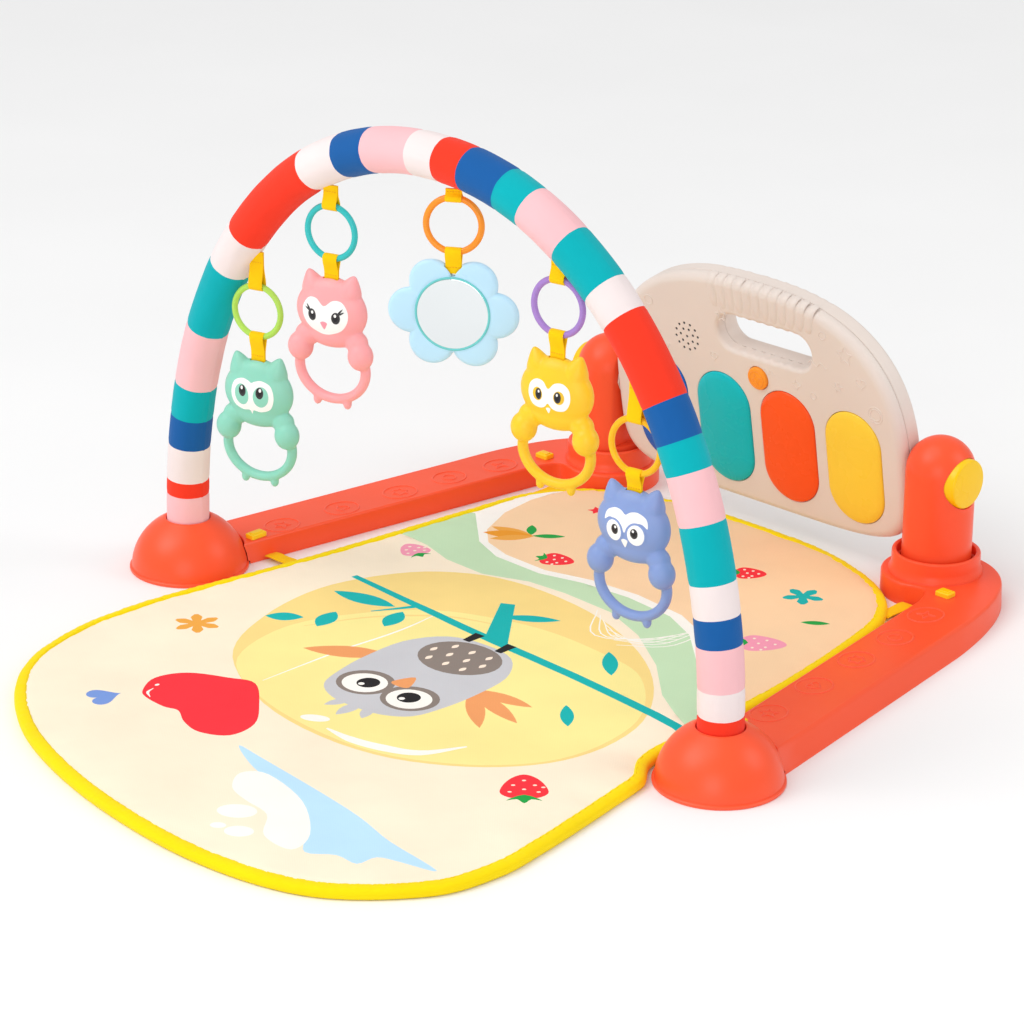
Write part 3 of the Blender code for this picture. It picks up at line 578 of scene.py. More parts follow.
# Each stripe's colour and the turn along the arch, in degrees, where it ends
STRIPES = [
    ("pink", 3.4), ("red", 5.3), ("white", 9.8), ("navy", 13.9), ("teal", 18.5), ("pink", 27.2),
    ("teal", 38.2), ("white", 45.0), ("red", 63.6), ("white", 71.6), ("navy", 77.9), ("pink", 86.8),
    ("white", 91.5), ("red", 96.3), ("navy", 103.5), ("teal", 108.5), ("pink", 116.6), ("teal", 124.7),
    ("white", 129.5), ("red", 141.3), ("navy", 146.3), ("teal", 150.2), ("pink", 156.4), ("teal", 163.3),
    ("white", 167.2), ("navy", 170.5), ("pink", 175.4), ("white", 178.4), ("red", 180.0),
]


def arch_point(turn):
    """Centreline point (x, z) and its unit normal, for turn from 0 (left foot) to pi (right foot)."""
    c, s = cos(turn), max(sin(turn), 0.0)
    u, v = copysign(abs(c) ** (2 / ARCH_POWER), c), s ** (2 / ARCH_POWER)
    across = -copysign(abs(u) ** (ARCH_POWER - 1), u) / ARCH_HALF
    normal = Vector((across, v ** (ARCH_POWER - 1) / ARCH_RISE)).normalized()
    return Vector((-ARCH_HALF * u, ARCH_SPRING + ARCH_RISE * v)), normal


def paint(mesh, colours):
    """Gives every face its own colour in the corner attribute 'print'."""
    values = np.ones((len(mesh.loops), 4), np.float32)
    for face, colour in zip(mesh.polygons, colours):
        values[face.loop_start:face.loop_start + face.loop_total, :3] = colour
    mesh.color_attributes.new("print", "FLOAT_COLOR", "CORNER").data.foreach_set("color", values.ravel())


def cloth_material(name, weave, depth, rough, sheen, colour=None):
    """Woven fabric. The threads run along the point attribute 'weave', in metres."""
    g = Graph(name)
    source = g.add("Attribute", attribute_name="weave").outputs["Vector"]
    parts = g.add("SeparateXYZ", {0: source})
    warp, weft = (g.math("SINE", g.math("MULTIPLY", parts.outputs[i], weave * TURN / 1.6)) for i in (0, 1))
    cross = g.math("MULTIPLY", warp, weft)
    height = g.math("ADD", g.math("MULTIPLY", cross, 0.5), g.noise(2600.0, 2.0))
    base = colour or g.add("Attribute", attribute_name="print").outputs["Color"]
    drift = g.ramp(g.noise(14.0, 3.0), 0.3, 0.7, 0.955, 1.02)
    shade = g.math("MULTIPLY", drift, g.ramp(cross, -1.0, 1.0, 0.965, 1.01))
    tinted = g.mix(1.0, base, g.add("CombineXYZ", {i: shade for i in range(3)}), "MULTIPLY")
    crease = g.bump(g.noise(70.0, 3.0), 0.12, 0.002)
    return g.set(Base_Color=tinted, Roughness=rough, Normal=g.bump(height, 0.35, depth, crease),
                 Sheen_Weight=sheen, Sheen_Roughness=0.5, Specular_IOR_Level=0.12)


def set_weave(mesh, vectors):
    """Gives every point its place along the cloth; points past the list's end, the stitches, get none."""
    vectors = list(vectors) + [(0.0, 0.0, 0.0)] * (len(mesh.vertices) - len(vectors))
    layer = mesh.attributes.new("weave", "FLOAT_VECTOR", "POINT")
    layer.data.foreach_set("vector", np.array(vectors, np.float32).ravel())


def build_sleeve():
    """Padded tube of sewn fabric stripes over the arch's two plastic halves."""
    turns, marks = [0.0], []
    for colour, end in STRIPES:
        end, start = radians(end), turns[-1]
        a, b = arch_point(start)[0], arch_point(end)[0]
        steps = max(3, int((b - a).length / SLEEVE_STEP))
        turns += [start + (end - start) * i / steps for i in range(1, steps + 1)]
        marks += [colour] * steps
    lengths, place = [0.0], arch_point(0)[0]
    for t in turns[1:]:
        lengths.append(lengths[-1] + (arch_point(t)[0] - place).length)
        place = arch_point(t)[0]
    seam_at = np.interp([radians(end) for _, end in STRIPES[:-1]], turns, lengths)
    rings, weave = [], []

    def ring(t, length, grow=0.0, drop=0.0, tight=None):
        point, normal = arch_point(t)
        pinch = SEAM_PINCH * exp(-(np.abs(seam_at - length).min() / SEAM_HALF) ** 2)
        made = []
        for k in range(SLEEVE_COUNT):
            a = TURN * k / SLEEVE_COUNT
            c, s = cos(a), sin(a)
            spot = Vector((length * 26, 3 * c, 3 * s))
            ripple = noise.noise(spot) * 0.00028 + noise.noise(spot * 3.1 + Vector((9, 2, 4))) * 0.00012
            ridge = RIDGE_RISE * exp(-((a - pi) / RIDGE_HALF) ** 2)
            r = tight or SLEEVE_R + grow - pinch + ripple + ridge
            made.append((point.x + c * r * normal.x, ARCH_Y + s * r, point.y + c * r * normal.y - drop))
            weave.append((length, a * SLEEVE_R, 0.0))
        rings.append(made)

    hem = [(0.0, 0.0020, 0.0150), (-0.0006, 0.0022), (0.0, 0.0012)]
    for end in hem:
        ring(0, 0, *end)
    for t, length in zip(turns, lengths):
        ring(t, length)
    for end in hem[::-1]:
        ring(pi, lengths[-1], *end)
    fabric = cloth_material("sleeve_fabric", 1500.0, 0.00025, 0.85, 0.08)
    made = Shape().loft(rings).piece("striped_sleeve", "arch", fabric, "sleeve_fabric", ("arch_sleeve",), 80)
    set_weave(made.data, weave)
    along = ["pink"] * 3 + marks + ["red"] * 3
    rows = [min(min(face.vertices) // SLEEVE_COUNT, len(along) - 1) for face in made.data.polygons]
    paint(made.data, [FABRIC_COLOURS[along[row]] for row in rows])
    stand_in(["arch_tube_left", "arch_tube_right"], plastic("tube_plastic", (0.80, 0.80, 0.77), 0.45))


# ---------------------------------------------------------------- mat and its print

MAT_EDGE = tenths(0, -3595, 1200, -3690, 2170, -3480, 2790, -2885, 2945, -2320, 2908, -1800, 2834, -1300,
                  2770, -920, 2718, -620, 2678, -468, 2605, -368, 2525, -245, 2480, -60, 2470, 150,
                  2460, 400, 2400, 1500, 2220, 2640, 2030, 3230, 1600, 3680, 850, 3970, 0, 4030,
                  -850, 3970, -1600, 3680, -1985, 3180, -2100, 2505, -2220, 1390, -2330, 500,
                  -2475, -350, -2555, -1030, -2520, -1700, -2285, -2365, -1800, -2885, -1070, -3300)
BINDING_W, MAT_TOP, MAT_UNDER = 0.0102, 0.0072, 0.0008
MAT_SPACING, MAT_PUFF, PUFF_AT = 0.0056, 0.0030, 0.0060     # triangle size; rise of the filled top
SIM_SPACING, SIM_STEPS, SIM_PRESSURE, SIM_SHRINK = 0.0085, 20, 4.0, -0.02
SEAM_IN, SEAM_H, STITCH_PITCH = 0.0082, 0.0094, 0.0042      # the binding's row of stitches

MAT_CREAM, MAT_PEACH, MAT_GREEN = tone(255, 240, 214), tone(254, 217, 174), tone(200, 230, 190)
MAT_WHITE, MAT_SAND, MAT_LEMON = tone(255, 252, 244), tone(252, 222, 140), tone(253, 238, 155)
MAT_TEAL, MAT_RED, MAT_PINK = tone(0, 182, 180), tone(252, 50, 62), tone(250, 160, 185)
MAT_SKY, MAT_BLUE, MAT_LEAF = tone(192, 230, 254), tone(122, 155, 222), tone(25, 165, 70)
MAT_ORANGE, MAT_AMBER, MAT_SEED = tone(240, 160, 100), tone(242, 170, 70), tone(255, 235, 215)
MAT_CARROT = tone(240, 158, 40)
MAT_GREY, MAT_TAUPE, MAT_BLACK = tone(203, 203, 207), tone(140, 128, 120), tone(30, 28, 30)


def band(points, widths):
    """Outline of a strip that follows a smooth open line, with its width given at each point."""
    line = [Vector(p) for p in points]
    ends = [line[0] * 2 - line[1]] + line + [line[-1] * 2 - line[-2]]
    path, spread = [], []
    for i in range(len(line) - 1):
        for t in (k / 5 for k in range(5)):
            path.append(between(*ends[i:i + 4], t))
            spread.append(widths[i] + (widths[i + 1] - widths[i]) * t)
    path.append(line[-1])
    spread.append(widths[-1])
    left, right = [], []
    for i, p in enumerate(path):
        along = (path[min(i + 1, len(path) - 1)] - path[max(i - 1, 0)]).normalized()
        side = Vector((-along.y, along.x)) * spread[i] / 2
        left.append(tuple(p + side))
        right.append(tuple(p - side))
    return left + right[::-1]


def leaf(tail, tip, width, count=9):
    """Pointed oval from tail to tip."""
    a, b = Vector(tail), Vector(tip)
    side = Vector((a.y - b.y, b.x - a.x)).normalized() * width / 2
    steps = [i / count for i in range(count + 1)]
    left = [a.lerp(b, t) + side * sin(pi * t) ** 0.85 for t in steps]
    right = [a.lerp(b, t) - side * sin(pi * t) ** 0.85 for t in steps[1:-1]]
    return [tuple(p) for p in left + right[::-1]]


def leaves(colour, *values):
    """Printed leaves from rows of tail, tip and width, in tenths of a millimetre."""
    values = [v / 10000 for v in values]
    rows = [values[i:i + 5] for i in range(0, len(values), 5)]
    return [(colour, leaf(row[:2], row[2:4], row[4])) for row in rows]


def strawberry(centre, half_w, half_l, leaf_turn, colour):
    """Berry whose leaf end points at leaf_turn, in degrees."""
    turn = radians(leaf_turn)
    along, side = Vector((cos(turn), sin(turn))), Vector((-sin(turn), cos(turn)))

    def at(v, u):
        p = Vector(centre) + along * v * half_l + side * u * half_w
        return (p.x, p.y)

    ring = [at(-1.0, 0), at(-0.75, 0.5), at(-0.2, 0.88), at(0.4, 1.0), at(0.75, 0.55), at(0.7, 0),
            at(0.75, -0.55), at(0.4, -1.0), at(-0.2, -0.88), at(-0.75, -0.5)]
    parts = [(colour, smooth_loop(ring, 4))]
    crown = [at(0.5, 0), at(0.95, 0.75), at(0.85, 0.3), at(1.15, 0), at(0.85, -0.3), at(0.95, -0.75)]
    parts.append((MAT_LEAF, smooth_loop(crown, 3)))
    for v, u in ((-0.55, 0), (-0.2, 0.45), (-0.2, -0.45), (0.1, 0), (0.3, 0.6), (0.3, -0.6), (-0.05, 0.8)):
        parts.append((MAT_SEED, blob(at(v, u), 0.0013, 0.0017, turn, 8)))
    return parts


def bird(place, turn):
    """A plump bird on a branch, seen from the piano's side of the mat."""
    c, s = cos(turn), sin(turn)

    def at(u, v):
        return (place[0] + u * c + v * s, place[1] + u * s - v * c)

    def spot(u, v, half_u, half_v, count=28):
        return [at(u + half_u * a, v + half_v * b) for a, b in disc(1.0, count)]

    half = tenths(0, -770, 340, -690, 550, -380, 580, 40, 550, 360, 470, 640, 260, 780, 0, 810)
    body = half + [(-u, v) for u, v in half[-2:0:-1]]
    parts = []
    for tip in ((0.100, 0.046), (0.116, 0.020), (0.106, -0.010)):
        parts.append((MAT_ORANGE, leaf(at(0.048, -0.004), at(*tip), 0.0150)))
    parts.append((MAT_ORANGE, leaf(at(-0.042, -0.012), at(-0.106, 0.026), 0.022)))
    for u, v, width in ((-0.020, 0.093, 0.010), (0.0, 0.101, 0.012), (0.020, 0.093, 0.010)):
        parts.append((MAT_GREY, leaf(at(u * 0.5, 0.070), at(u, v), width)))
    parts.append((MAT_GREY, smooth_loop([at(*p) for p in body], 4)))
    parts.append((MAT_TAUPE, spot(0.002, -0.043, 0.037, 0.030)))
    for row, spots in ((-0.028, (-0.018, 0.0, 0.018)), (-0.043, (-0.026, -0.009, 0.009, 0.026)),
                       (-0.058, (-0.016, 0.002, 0.020))):
        for u in spots:
            parts.append((MAT_SEED, leaf(at(u, row - 0.0045), at(u, row + 0.0045), 0.0048, 5)))
    for way in (-1, 1):
        parts.append((MAT_TAUPE, spot(way * 0.0235, 0.041, 0.0245, 0.0225)))
    for way in (-1, 1):
        parts.append((MAT_WHITE, spot(way * 0.0235, 0.042, 0.0190, 0.0175)))
        parts.append((MAT_BLACK, spot(way * 0.0215, 0.040, 0.0095, 0.0095, 24)))
        parts.append((MAT_WHITE, spot(way * 0.0215 - 0.003, 0.045, 0.0026, 0.0026, 12)))
        parts.append((MAT_BLACK, band([at(way * 0.017, -0.072), at(way * 0.017, -0.090)], (0.007, 0.010))))
    beak = [at(*p) for p in tenths(-90, 260, 0, 300, 90, 260, 0, 80)]
    parts.append((MAT_ORANGE, smooth_loop(beak, 4)))
    return parts


def mat_print():
    """(colour, outline) of each printed shape from the lowest to the topmost, in the arch's frame."""
    shade_edge = tenths(-3000, 2550, -1960, 2440, -1450, 1970, -1110, 1830, -590, 1810, -180, 1920,
                        300, 1960, 810, 1910, 1180, 1730, 1530, 1410, 2050, 1020, 3000, 600)
    inner_edge = tenths(-1810, 3000, -1770, 2620, -1600, 2220, -1380, 2010, -1080, 1920, -600, 1900,
                        -180, 2020, 320, 2060, 860, 2000, 1240, 1820, 1600, 1500, 2120, 1100, 3000, 720)
    green_edge = tenths(3000, 100, 2110, 500, 1810, 690, 1390, 1090, 890, 1430, 410, 1620, -130, 1650,
                        -520, 1620, -920, 1460, -1360, 1480, -1720, 1600, -3000, 1800)
    oval = tenths(-1120, -1200, -1560, -450, -1650, 400, -1300, 1160, -600, 1530, 450, 1460, 1420, 980,
                  2030, 220, 2100, -600, 1720, -1220, 980, -1660, -120, -1660)
    lemon = tenths(-1000, -1270, -1270, -600, -1120, 20, -660, 620, 100, 940, 900, 960, 1470, 820,
                   1990, 200, 2060, -600, 1700, -1190, 970, -1620, -110, -1620)
    hill = tenths(130, -2260, 420, -2290, 1030, -2370, 1660, -2470, 2110, -2590, 2670, -2670,
                  2400, -2760, 2220, -2830, 2190, -3000, 1990, -3010, 1800, -3140, 1600, -2950,
                  1190, -2620, 670, -2500, 380, -2400)
    cloud = tenths(640, -2790, 500, -2580, 670, -2450, 1190, -2590, 1620, -2920, 1700, -3180,
                   1390, -3160, 1160, -2920, 880, -2870)
    heart = tenths(-1030, -2190, -1150, -2120, -1260, -1900, -1150, -1660, -850, -1490, -620, -1410,
                   -300, -1660, -70, -1920, -50, -2190, -260, -2320, -480, -2280, -660, -2180,
                   -800, -2210)
    shapes = [
        (MAT_GREEN, green_edge + shade_edge),
        (MAT_WHITE, shade_edge + [(0.35, 0.5), (-0.35, 0.5)]),
        (MAT_PEACH, inner_edge + tenths(3500, 5000, -1550, 3850, -1760, 3450)),
        (MAT_SAND, smooth_loop(oval, 6)),
        (MAT_LEMON, smooth_loop(lemon, 6)),
        (MAT_SAND, band(tenths(-1180, -360, -900, 200, -460, 620, 60, 820), (0.001, 0.003, 0.003, 0.001))),
        (MAT_WHITE, band(tenths(-620, -1330, -610, -510, -560, 140, -580, 570),
                         (0.0008, 0.0022, 0.0022, 0.0008))),
        (MAT_WHITE, band(tenths(380, -1580, 660, -1590, 940, -1530, 1210, -1390, 1380, -1060),
                         (0.002, 0.009, 0.011, 0.009, 0.002))),
        (MAT_WHITE, blob((0.018, -0.1515), 0.0120, 0.0060, 0.5)),
        (MAT_TEAL, band(tenths(-1660, 670, -660, 580, 160, 520, 1270, 460, 2520, 310),
                        (0.006, 0.0085, 0.0095, 0.0095, 0.0095))),
        (MAT_TEAL, tenths(40, 500, 300, 500, -260, 1180, -370, 1120)),
        *leaves(MAT_TEAL, -940, 450, -1540, 320, 190),
        (MAT_TEAL, band(tenths(-800, 600, -1017, 245), (0.006, 0.0015))),
        *leaves(MAT_TEAL, -170, 920, 240, 1200, 130, -1560, -440, -1310, -240, 165,
                -1100, -290, -1210, 30, 170, -710, 100, -820, 420, 170,
                1265, 695, 945, 1015, 130, 1675, -250, 1395, 30, 110),
        (MAT_SKY, smooth_loop(hill, 4)),
        (MAT_WHITE, smooth_loop(cloud, 5)),
        (MAT_WHITE, blob((0.0965, -0.3037), 0.0150, 0.0110, 0.6)),
        (MAT_WHITE, blob((0.1037, -0.3287), 0.0060, 0.0045, 0.6)),
        (MAT_WHITE, blob((0.1216, -0.3245), 0.0110, 0.0085, 0.6)),
        (MAT_RED, smooth_loop(heart, 5)),
        (MAT_WHITE, band(tenths(-1115, -2040, -1090, -2120, -1010, -2165), (0.0006, 0.0026, 0.0006))),
        (MAT_WHITE, blob((-0.1145, -0.1975), 0.0016, 0.0022, 0.0, 10)),
        (MAT_BLUE, heart_outline((-0.128, -0.2420), 0.0155, radians(159))),
        *leaves(MAT_AMBER, -1200, 2390, -1620, 2300, 130),
        *leaves(MAT_CARROT, -1200, 2390, -1580, 2150, 170),
        *leaves(MAT_AMBER, -1200, 2390, -1430, 2080, 120),
        *leaves(MAT_LEAF, -1240, 2400, -1390, 2570, 90, -1220, 2390, -1000, 2580, 90),
        (MAT_RED, star_outline((-0.122, 0.3226), 0.0085, 0.0045, 5, 0.0, 3)),
        *leaves(MAT_LEAF, -1220, 3226, -1060, 3316, 40, 1650, 2580, 1850, 2720, 80),
    ]
    for centre, reach, count, colour in (((-0.184, -0.094), 0.0195, 6, MAT_AMBER),
                                         ((0.132, 0.301), 0.0175, 5, MAT_TEAL)):
        for i in range(count):
            way = Vector((cos(TURN * i / count + 0.35), sin(TURN * i / count + 0.35)))
            start, tip = Vector(centre) - way * 0.002, Vector(centre) + way * reach
            shapes.append((colour, band([start, start.lerp(tip, 0.7), tip], (0.004, 0.0098, 0.003))))
    for i in range(8):
        a, b = 0.030 + 0.0085 * i, 0.118 + 0.0045 * i
        shapes.append((MAT_WHITE, band([(a, 0.158 - 0.006 * i), (a + 0.034, b), (0.118, 0.150 + 0.010 * i)],
                                       (0.0008, 0.0014, 0.0008))))
    for x, y, half_w, half_l, leaf_turn, colour in (
            (0.218, -0.1267, 0.0180, 0.0225, -46, MAT_RED), (-0.0698, 0.214, 0.0135, 0.0165, 200, MAT_RED),
            (0.0676, 0.3071, 0.0125, 0.0150, 215, MAT_RED), (-0.1719, 0.1441, 0.0130, 0.0155, -20, MAT_PINK),
            (0.1705, 0.2013, 0.0160, 0.0210, 215, MAT_PINK)):
        shapes += strawberry((x, y), half_w, half_l, leaf_turn, colour)
    return shapes + bird((0.0185, -0.0350), 0.06)


def inside(outline, points):
    """For each point, whether it lies inside a flat outline."""
    x, y = points[:, 0], points[:, 1]
    hit = np.zeros(len(points), bool)
    for i, (x1, y1) in enumerate(outline):
        x0, y0 = outline[i - 1]
        if y0 != y1:
            crosses = (y0 > y) != (y1 > y)
            hit ^= crosses & (x < (x1 - x0) * (y - y0) / (y1 - y0) + x0)
    return hit


def sheet_mesh(outline, spacing, lines=()):
    """Flat triangles that fill an outline and follow every line drawn on it: their corners, the
    triangles, their centres, and which corners lie on the outline."""
    edge = np.array(outline)
    low, high = edge.min(axis=0), edge.max(axis=0)
    grid = []
    for row, y in enumerate(np.arange(low[1], high[1], spacing * 0.866)):
        shift = spacing / 2 * (row % 2)
        grid += [(x, y) for x in np.arange(low[0] + shift, high[0], spacing)]
    grid = np.array(grid)
    inner = np.array(inset(outline, spacing * 0.6))
    grid = grid[inside([tuple(p) for p in inner], grid)]
    points, edges = [], []
    for line in (outline, *lines):
        start = len(points)
        points += [Vector(p) for p in line]
        edges += [(start + i, start + (i + 1) % len(line)) for i in range(len(line))]
    points += [Vector(p) for p in grid]
    verts, _, faces = delaunay_2d_cdt(points, edges, [], 0, 1e-6)[:3]
    verts = np.array([tuple(v) for v in verts])
    centres = np.array([verts[list(f)].mean(axis=0) for f in faces])
    keep = inside(outline, centres)
    faces = [f for f, kept in zip(faces, keep) if kept]
    used = sorted({i for f in faces for i in f})
    index = {old: new for new, old in enumerate(used)}
    rim = {index[i] for i in range(len(outline)) if i in index}
    return verts[used], [tuple(index[i] for i in f) for f in faces], centres[keep], rim


def swell(outline):
    """Simulates the filled cover, held at its binding, and returns its rise over any point."""
    verts, top, _, rim = sheet_mesh(outline, SIM_SPACING)
    points = [(x, y, 0.0 if i in rim else 0.003) for i, (x, y) in enumerate(verts)]
    lower = {i: i for i in rim}
    for i, (x, y) in enumerate(verts):
        if i not in rim:
            lower[i] = len(points)
            points.append((x, y, -0.003))
    bottom = [tuple(lower[i] for i in f[::-1]) for f in top]
    mesh = bpy.data.meshes.new("cover_sim")
    mesh.from_pydata(points, [], top + bottom)
    cover = link(bpy.data.objects.new("cover_sim", mesh))
    cover.vertex_groups.new(name="hem").add(sorted(rim), 1.0, "REPLACE")
    cloth = cover.modifiers.new("fill", "CLOTH")
    settings = cloth.settings
    settings.use_pressure, settings.uniform_pressure_force = True, SIM_PRESSURE
    settings.effector_weights.gravity = 0.0
    settings.vertex_group_mass, settings.shrink_min, settings.quality = "hem", SIM_SHRINK, 5
    cloth.point_cache.frame_start, cloth.point_cache.frame_end = 1, SIM_STEPS
    for step in range(1, SIM_STEPS + 1):
        bpy.context.scene.frame_set(step)
    grown = cover.evaluated_get(bpy.context.evaluated_depsgraph_get()).to_mesh()
    moved = [v.co.copy() for v in grown.vertices]
    tree = BVHTree.FromPolygons(moved, top)
    bpy.data.objects.remove(cover)
    bpy.context.scene.frame_set(1)

    def rise(x, y):
        hit = tree.ray_cast(Vector((x, y, 1.0)), Vector((0, 0, -1)))[0]
        return hit.z if hit else 0.0

    return rise


def build_mat():
    """Padded mat: printed top over its filling, flat underside and a sewn yellow binding."""
    outline = smooth_loop(MAT_EDGE, 12)
    cover_edge = inset(outline, 0.0045)
    shapes = mat_print()
    verts, faces, centres, _ = sheet_mesh(cover_edge, MAT_SPACING, [line for _, line in shapes])
    colours = np.tile(np.array(MAT_CREAM), (len(faces), 1))
    for colour, line in shapes:
        colours[inside(line, centres)] = colour
    rise = swell(cover_edge)
    bm = bmesh.new()
    corners = []
    for x, y in verts:
        lift = MAT_PUFF * tanh(max(rise(x, y), 0.0) / PUFF_AT)
        ripple = (noise.noise(Vector((x * 9, y * 9, 0.5))) * 0.0007
                  + noise.noise(Vector((x * 27, y * 27, 7))) * 0.0003)
        corners.append(bm.verts.new((x, ARCH_Y + y, MAT_TOP + lift + ripple * min(1.0, lift / 0.0015))))
    for f in faces:
        bm.faces.new([corners[i] for i in f]).smooth = True
    for part in bmesh.ops.extrude_edge_only(bm, edges=[e for e in bm.edges if e.is_boundary])["geom"]:
        if isinstance(part, bmesh.types.BMVert):
            part.co.z = MAT_UNDER
    bmesh.ops.triangle_fill(bm, edges=[e for e in bm.edges if e.is_boundary], use_beauty=False)
    bmesh.ops.recalc_face_normals(bm, faces=bm.faces)
    mesh = bpy.data.meshes.new("padded_mat")
    bm.to_mesh(mesh)
    bm.free()
    mesh.materials.append(cloth_material("mat_fabric", 900.0, 0.00012, 0.8, 0.05))
    paint(mesh, list(colours) + [MAT_CREAM] * (len(mesh.polygons) - len(faces)))
    set_weave(mesh, [tuple(v.co) for v in mesh.vertices])
    mesh.set_sharp_from_angle(angle=radians(60))
    mat = mount(link(bpy.data.objects.new("padded_mat", mesh)), "base", ("play_mat",))
    build_binding(outline)


def build_binding(outline):
    """Sewn tape round the mat's edge, with a row of stitches."""
    length = sum((Vector(p) - Vector(outline[i - 1])).length for i, p in enumerate(outline))
    steps = int(length / 0.0028)
    path = resample(outline, steps)
    profile = [(0.0, 0.0045), (0.0006, 0.0068), (0.0022, 0.0084), (0.0048, 0.0092), (0.0082, 0.0094),
               (0.0098, 0.0089), (BINDING_W, 0.0072), (BINDING_W, 0.0016), (0.0070, 0.0004),
               (0.0022, 0.0002), (0.0006, 0.0014)]
    rings, weave = [], []
    for i, (p, normal) in enumerate(path):
        at = length * i / steps
        wave = noise.noise(Vector((at * 95, 3.0, 1.0))) * 0.00045 + sin(at * 2 * pi / 0.0085) * 0.00022
        waist = noise.noise(Vector((at * 40, 8.0, 2.0))) * 0.0004
        ring = []
        for k, (d, z) in enumerate(profile):
            q = p - normal * (d + (waist if k < 5 else 0.0))
            ring.append((q.x, ARCH_Y + q.y, z + (wave if 1 < k < 6 else 0.0)))
            weave.append((at, d + z, 0.0))
        rings.append(ring)
    shape = Shape().loft(rings, closed=True)
    stitch_rows(shape, path, length)
    yellow = cloth_material("binding_tape", 1300.0, 0.0002, 0.75, 0.06, tone(254, 224, 0))
    edge = shape.piece("mat_binding", "base", yellow, "yellow_fabric", sharp=80)
    set_weave(edge.data, weave)
    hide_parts("play_mat")


def resample(outline, steps):
    """Evenly spaced points round a closed outline, each with its outward normal."""
    points = [Vector(p) for p in outline] + [Vector(outline[0])]
    lengths = np.concatenate([[0.0], np.cumsum([(b - a).length for a, b in zip(points, points[1:])])])
    at = np.linspace(0.0, lengths[-1], steps, endpoint=False)
    xs, ys = (np.interp(at, lengths, [p[k] for p in points]) for k in (0, 1))
    even = [Vector((x, y)) for x, y in zip(xs, ys)]
    path = []
    for i, p in enumerate(even):
        along = (even[(i + 1) % steps] - even[i - 1]).normalized()
        path.append((p, Vector((along.y, -along.x))))
    return path


def stitch(shape, a, b, half=0.00035, look=0):
    """One short raised thread between two points."""
    a, b = Vector(a), Vector(b)
    along = (b - a).normalized()
    side = along.cross(Vector((0, 0, 1)))
    side = side.normalized() if side.length > 0.2 else Vector((1, 0, 0))
    up = side.cross(along)
    rings = []
    for t, r in ((0.0, 0.35), (0.2, 0.9), (0.5, 1.0), (0.8, 0.9), (1.0, 0.35)):
        centre = a.lerp(b, t)
        rings.append([tuple(centre + (side * cos(k * pi / 3) + up * sin(k * pi / 3)) * half * r)
                      for k in range(6)])
    shape.loft(rings, look=look)


def stitch_rows(shape, path, length):
    """Thread dashes along the binding."""
    steps = len(path)
    for i in range(int(length / STITCH_PITCH)):
        ends = []
        for part in (0.15, 0.80):
            p, normal = path[int((i + part) * STITCH_PITCH / length * steps) % steps]
            q = p - normal * SEAM_IN
            ends.append((q.x, ARCH_Y + q.y, SEAM_H))
        stitch(shape, *ends)


# ---------------------------------------------------------------- tabs, ribbons and rings

TAB_W, TAB_T = 0.0130, 0.0011
WIRE_R, RING_R, LOOP_R, RIBBON_W, RIBBON_T = 0.0025, 0.0218, 0.0041, 0.0130, 0.0012
HALF_GAP = 0.00068          # from the middle of a doubled ribbon to the middle of either layer
# name, x, ring centre height, toy top height, turn in degrees, ring colour
TOYS = [
    ("mint", -0.2070, 0.252, 0.211, 16, tone(176, 222, 92)),
    ("pink", -0.1185, 0.339, 0.302, 15, tone(52, 190, 190)),
    ("flower", 0.0180, 0.375, 0.336, 32, tone(250, 150, 40)),
    ("yellow", 0.1285, 0.335, 0.296, 10, tone(168, 130, 205)),
    ("blue", 0.2090, 0.245, 0.211, 8, tone(255, 188, 20)),
]


def facing(turn):
    """Directions across and into a hanging piece that is turned about the upright."""
    return Vector((cos(turn), sin(turn), 0)), Vector((-sin(turn), cos(turn), 0))


def strip_piece(name, node, body, path, across, width, thick, looks, marks):
    """Flat webbing along a path of points, each with its upward direction."""
    count, rings, weave, length = 10, [], [], 0.0
    for i, (p, up) in enumerate(path):
        if i:
            length += (p - path[i - 1][0]).length
        ring = []
        for k in range(count):
            t = TURN * (k + 0.5) / count
            u = copysign(abs(cos(t)) ** 0.25, cos(t)) * width / 2
            v = copysign(abs(sin(t)) ** 0.6, sin(t)) * thick / 2
            ring.append(tuple(p + across * u + up * v))
            weave.append((length, u, 0.0))
        rings.append(ring)
    shape = Shape().loft(rings)
    for a, b, look in marks:
        stitch(shape, a, b, 0.0003, look)
    made = shape.piece(name, body, looks, "yellow_fabric", (node,), sharp=50)
    set_weave(made.data, weave)


def build_tabs(looks):
    """Tapes from the rails to the mat, each along the longer way of its CAD node."""
    for name, side in SIDES:
        for label in ("front", "rear"):
            low, high = (Vector(p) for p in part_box(f"{name}_{label}_tab"))
            near, far = (low + high) / 2, (low + high) / 2
            if label == "front":
                near.x, far.x = (low.x, high.x) if side > 0 else (high.x, low.x)
                across = Vector((0, 1, 0))
            else:
                near.y, far.y = low.y, high.y
                across = Vector((1, 0, 0))
            along, path, marks = (far - near).normalized(), [], []
            for t in (i / 14 for i in range(15)):
                bow = 0.0005 * sin(pi * t) + 0.0003 * sin(3 * pi * t)
                path.append((near.lerp(far, t) + Vector((0, 0, bow)), Vector((0, 0, 1))))

            def sew(ahead, aside, way):
                start = near + along * ahead + across * aside + Vector((0, 0, 0.0009))
                marks.append((start, start + way * 0.0018, 0))

            for w in (-0.0052, 0.0052):
                for k in range(4):
                    sew(0.0015 + 0.0026 * k, w, along)
            for k in range(4):
                for at in (0.0012, 0.0112):
                    sew(at, -0.0050 + 0.0026 * k, across)
            strip_piece(f"{name}_{label}_strap", f"{name}_{label}_tab", "base", path, across, TAB_W, TAB_T,
                        looks, marks)


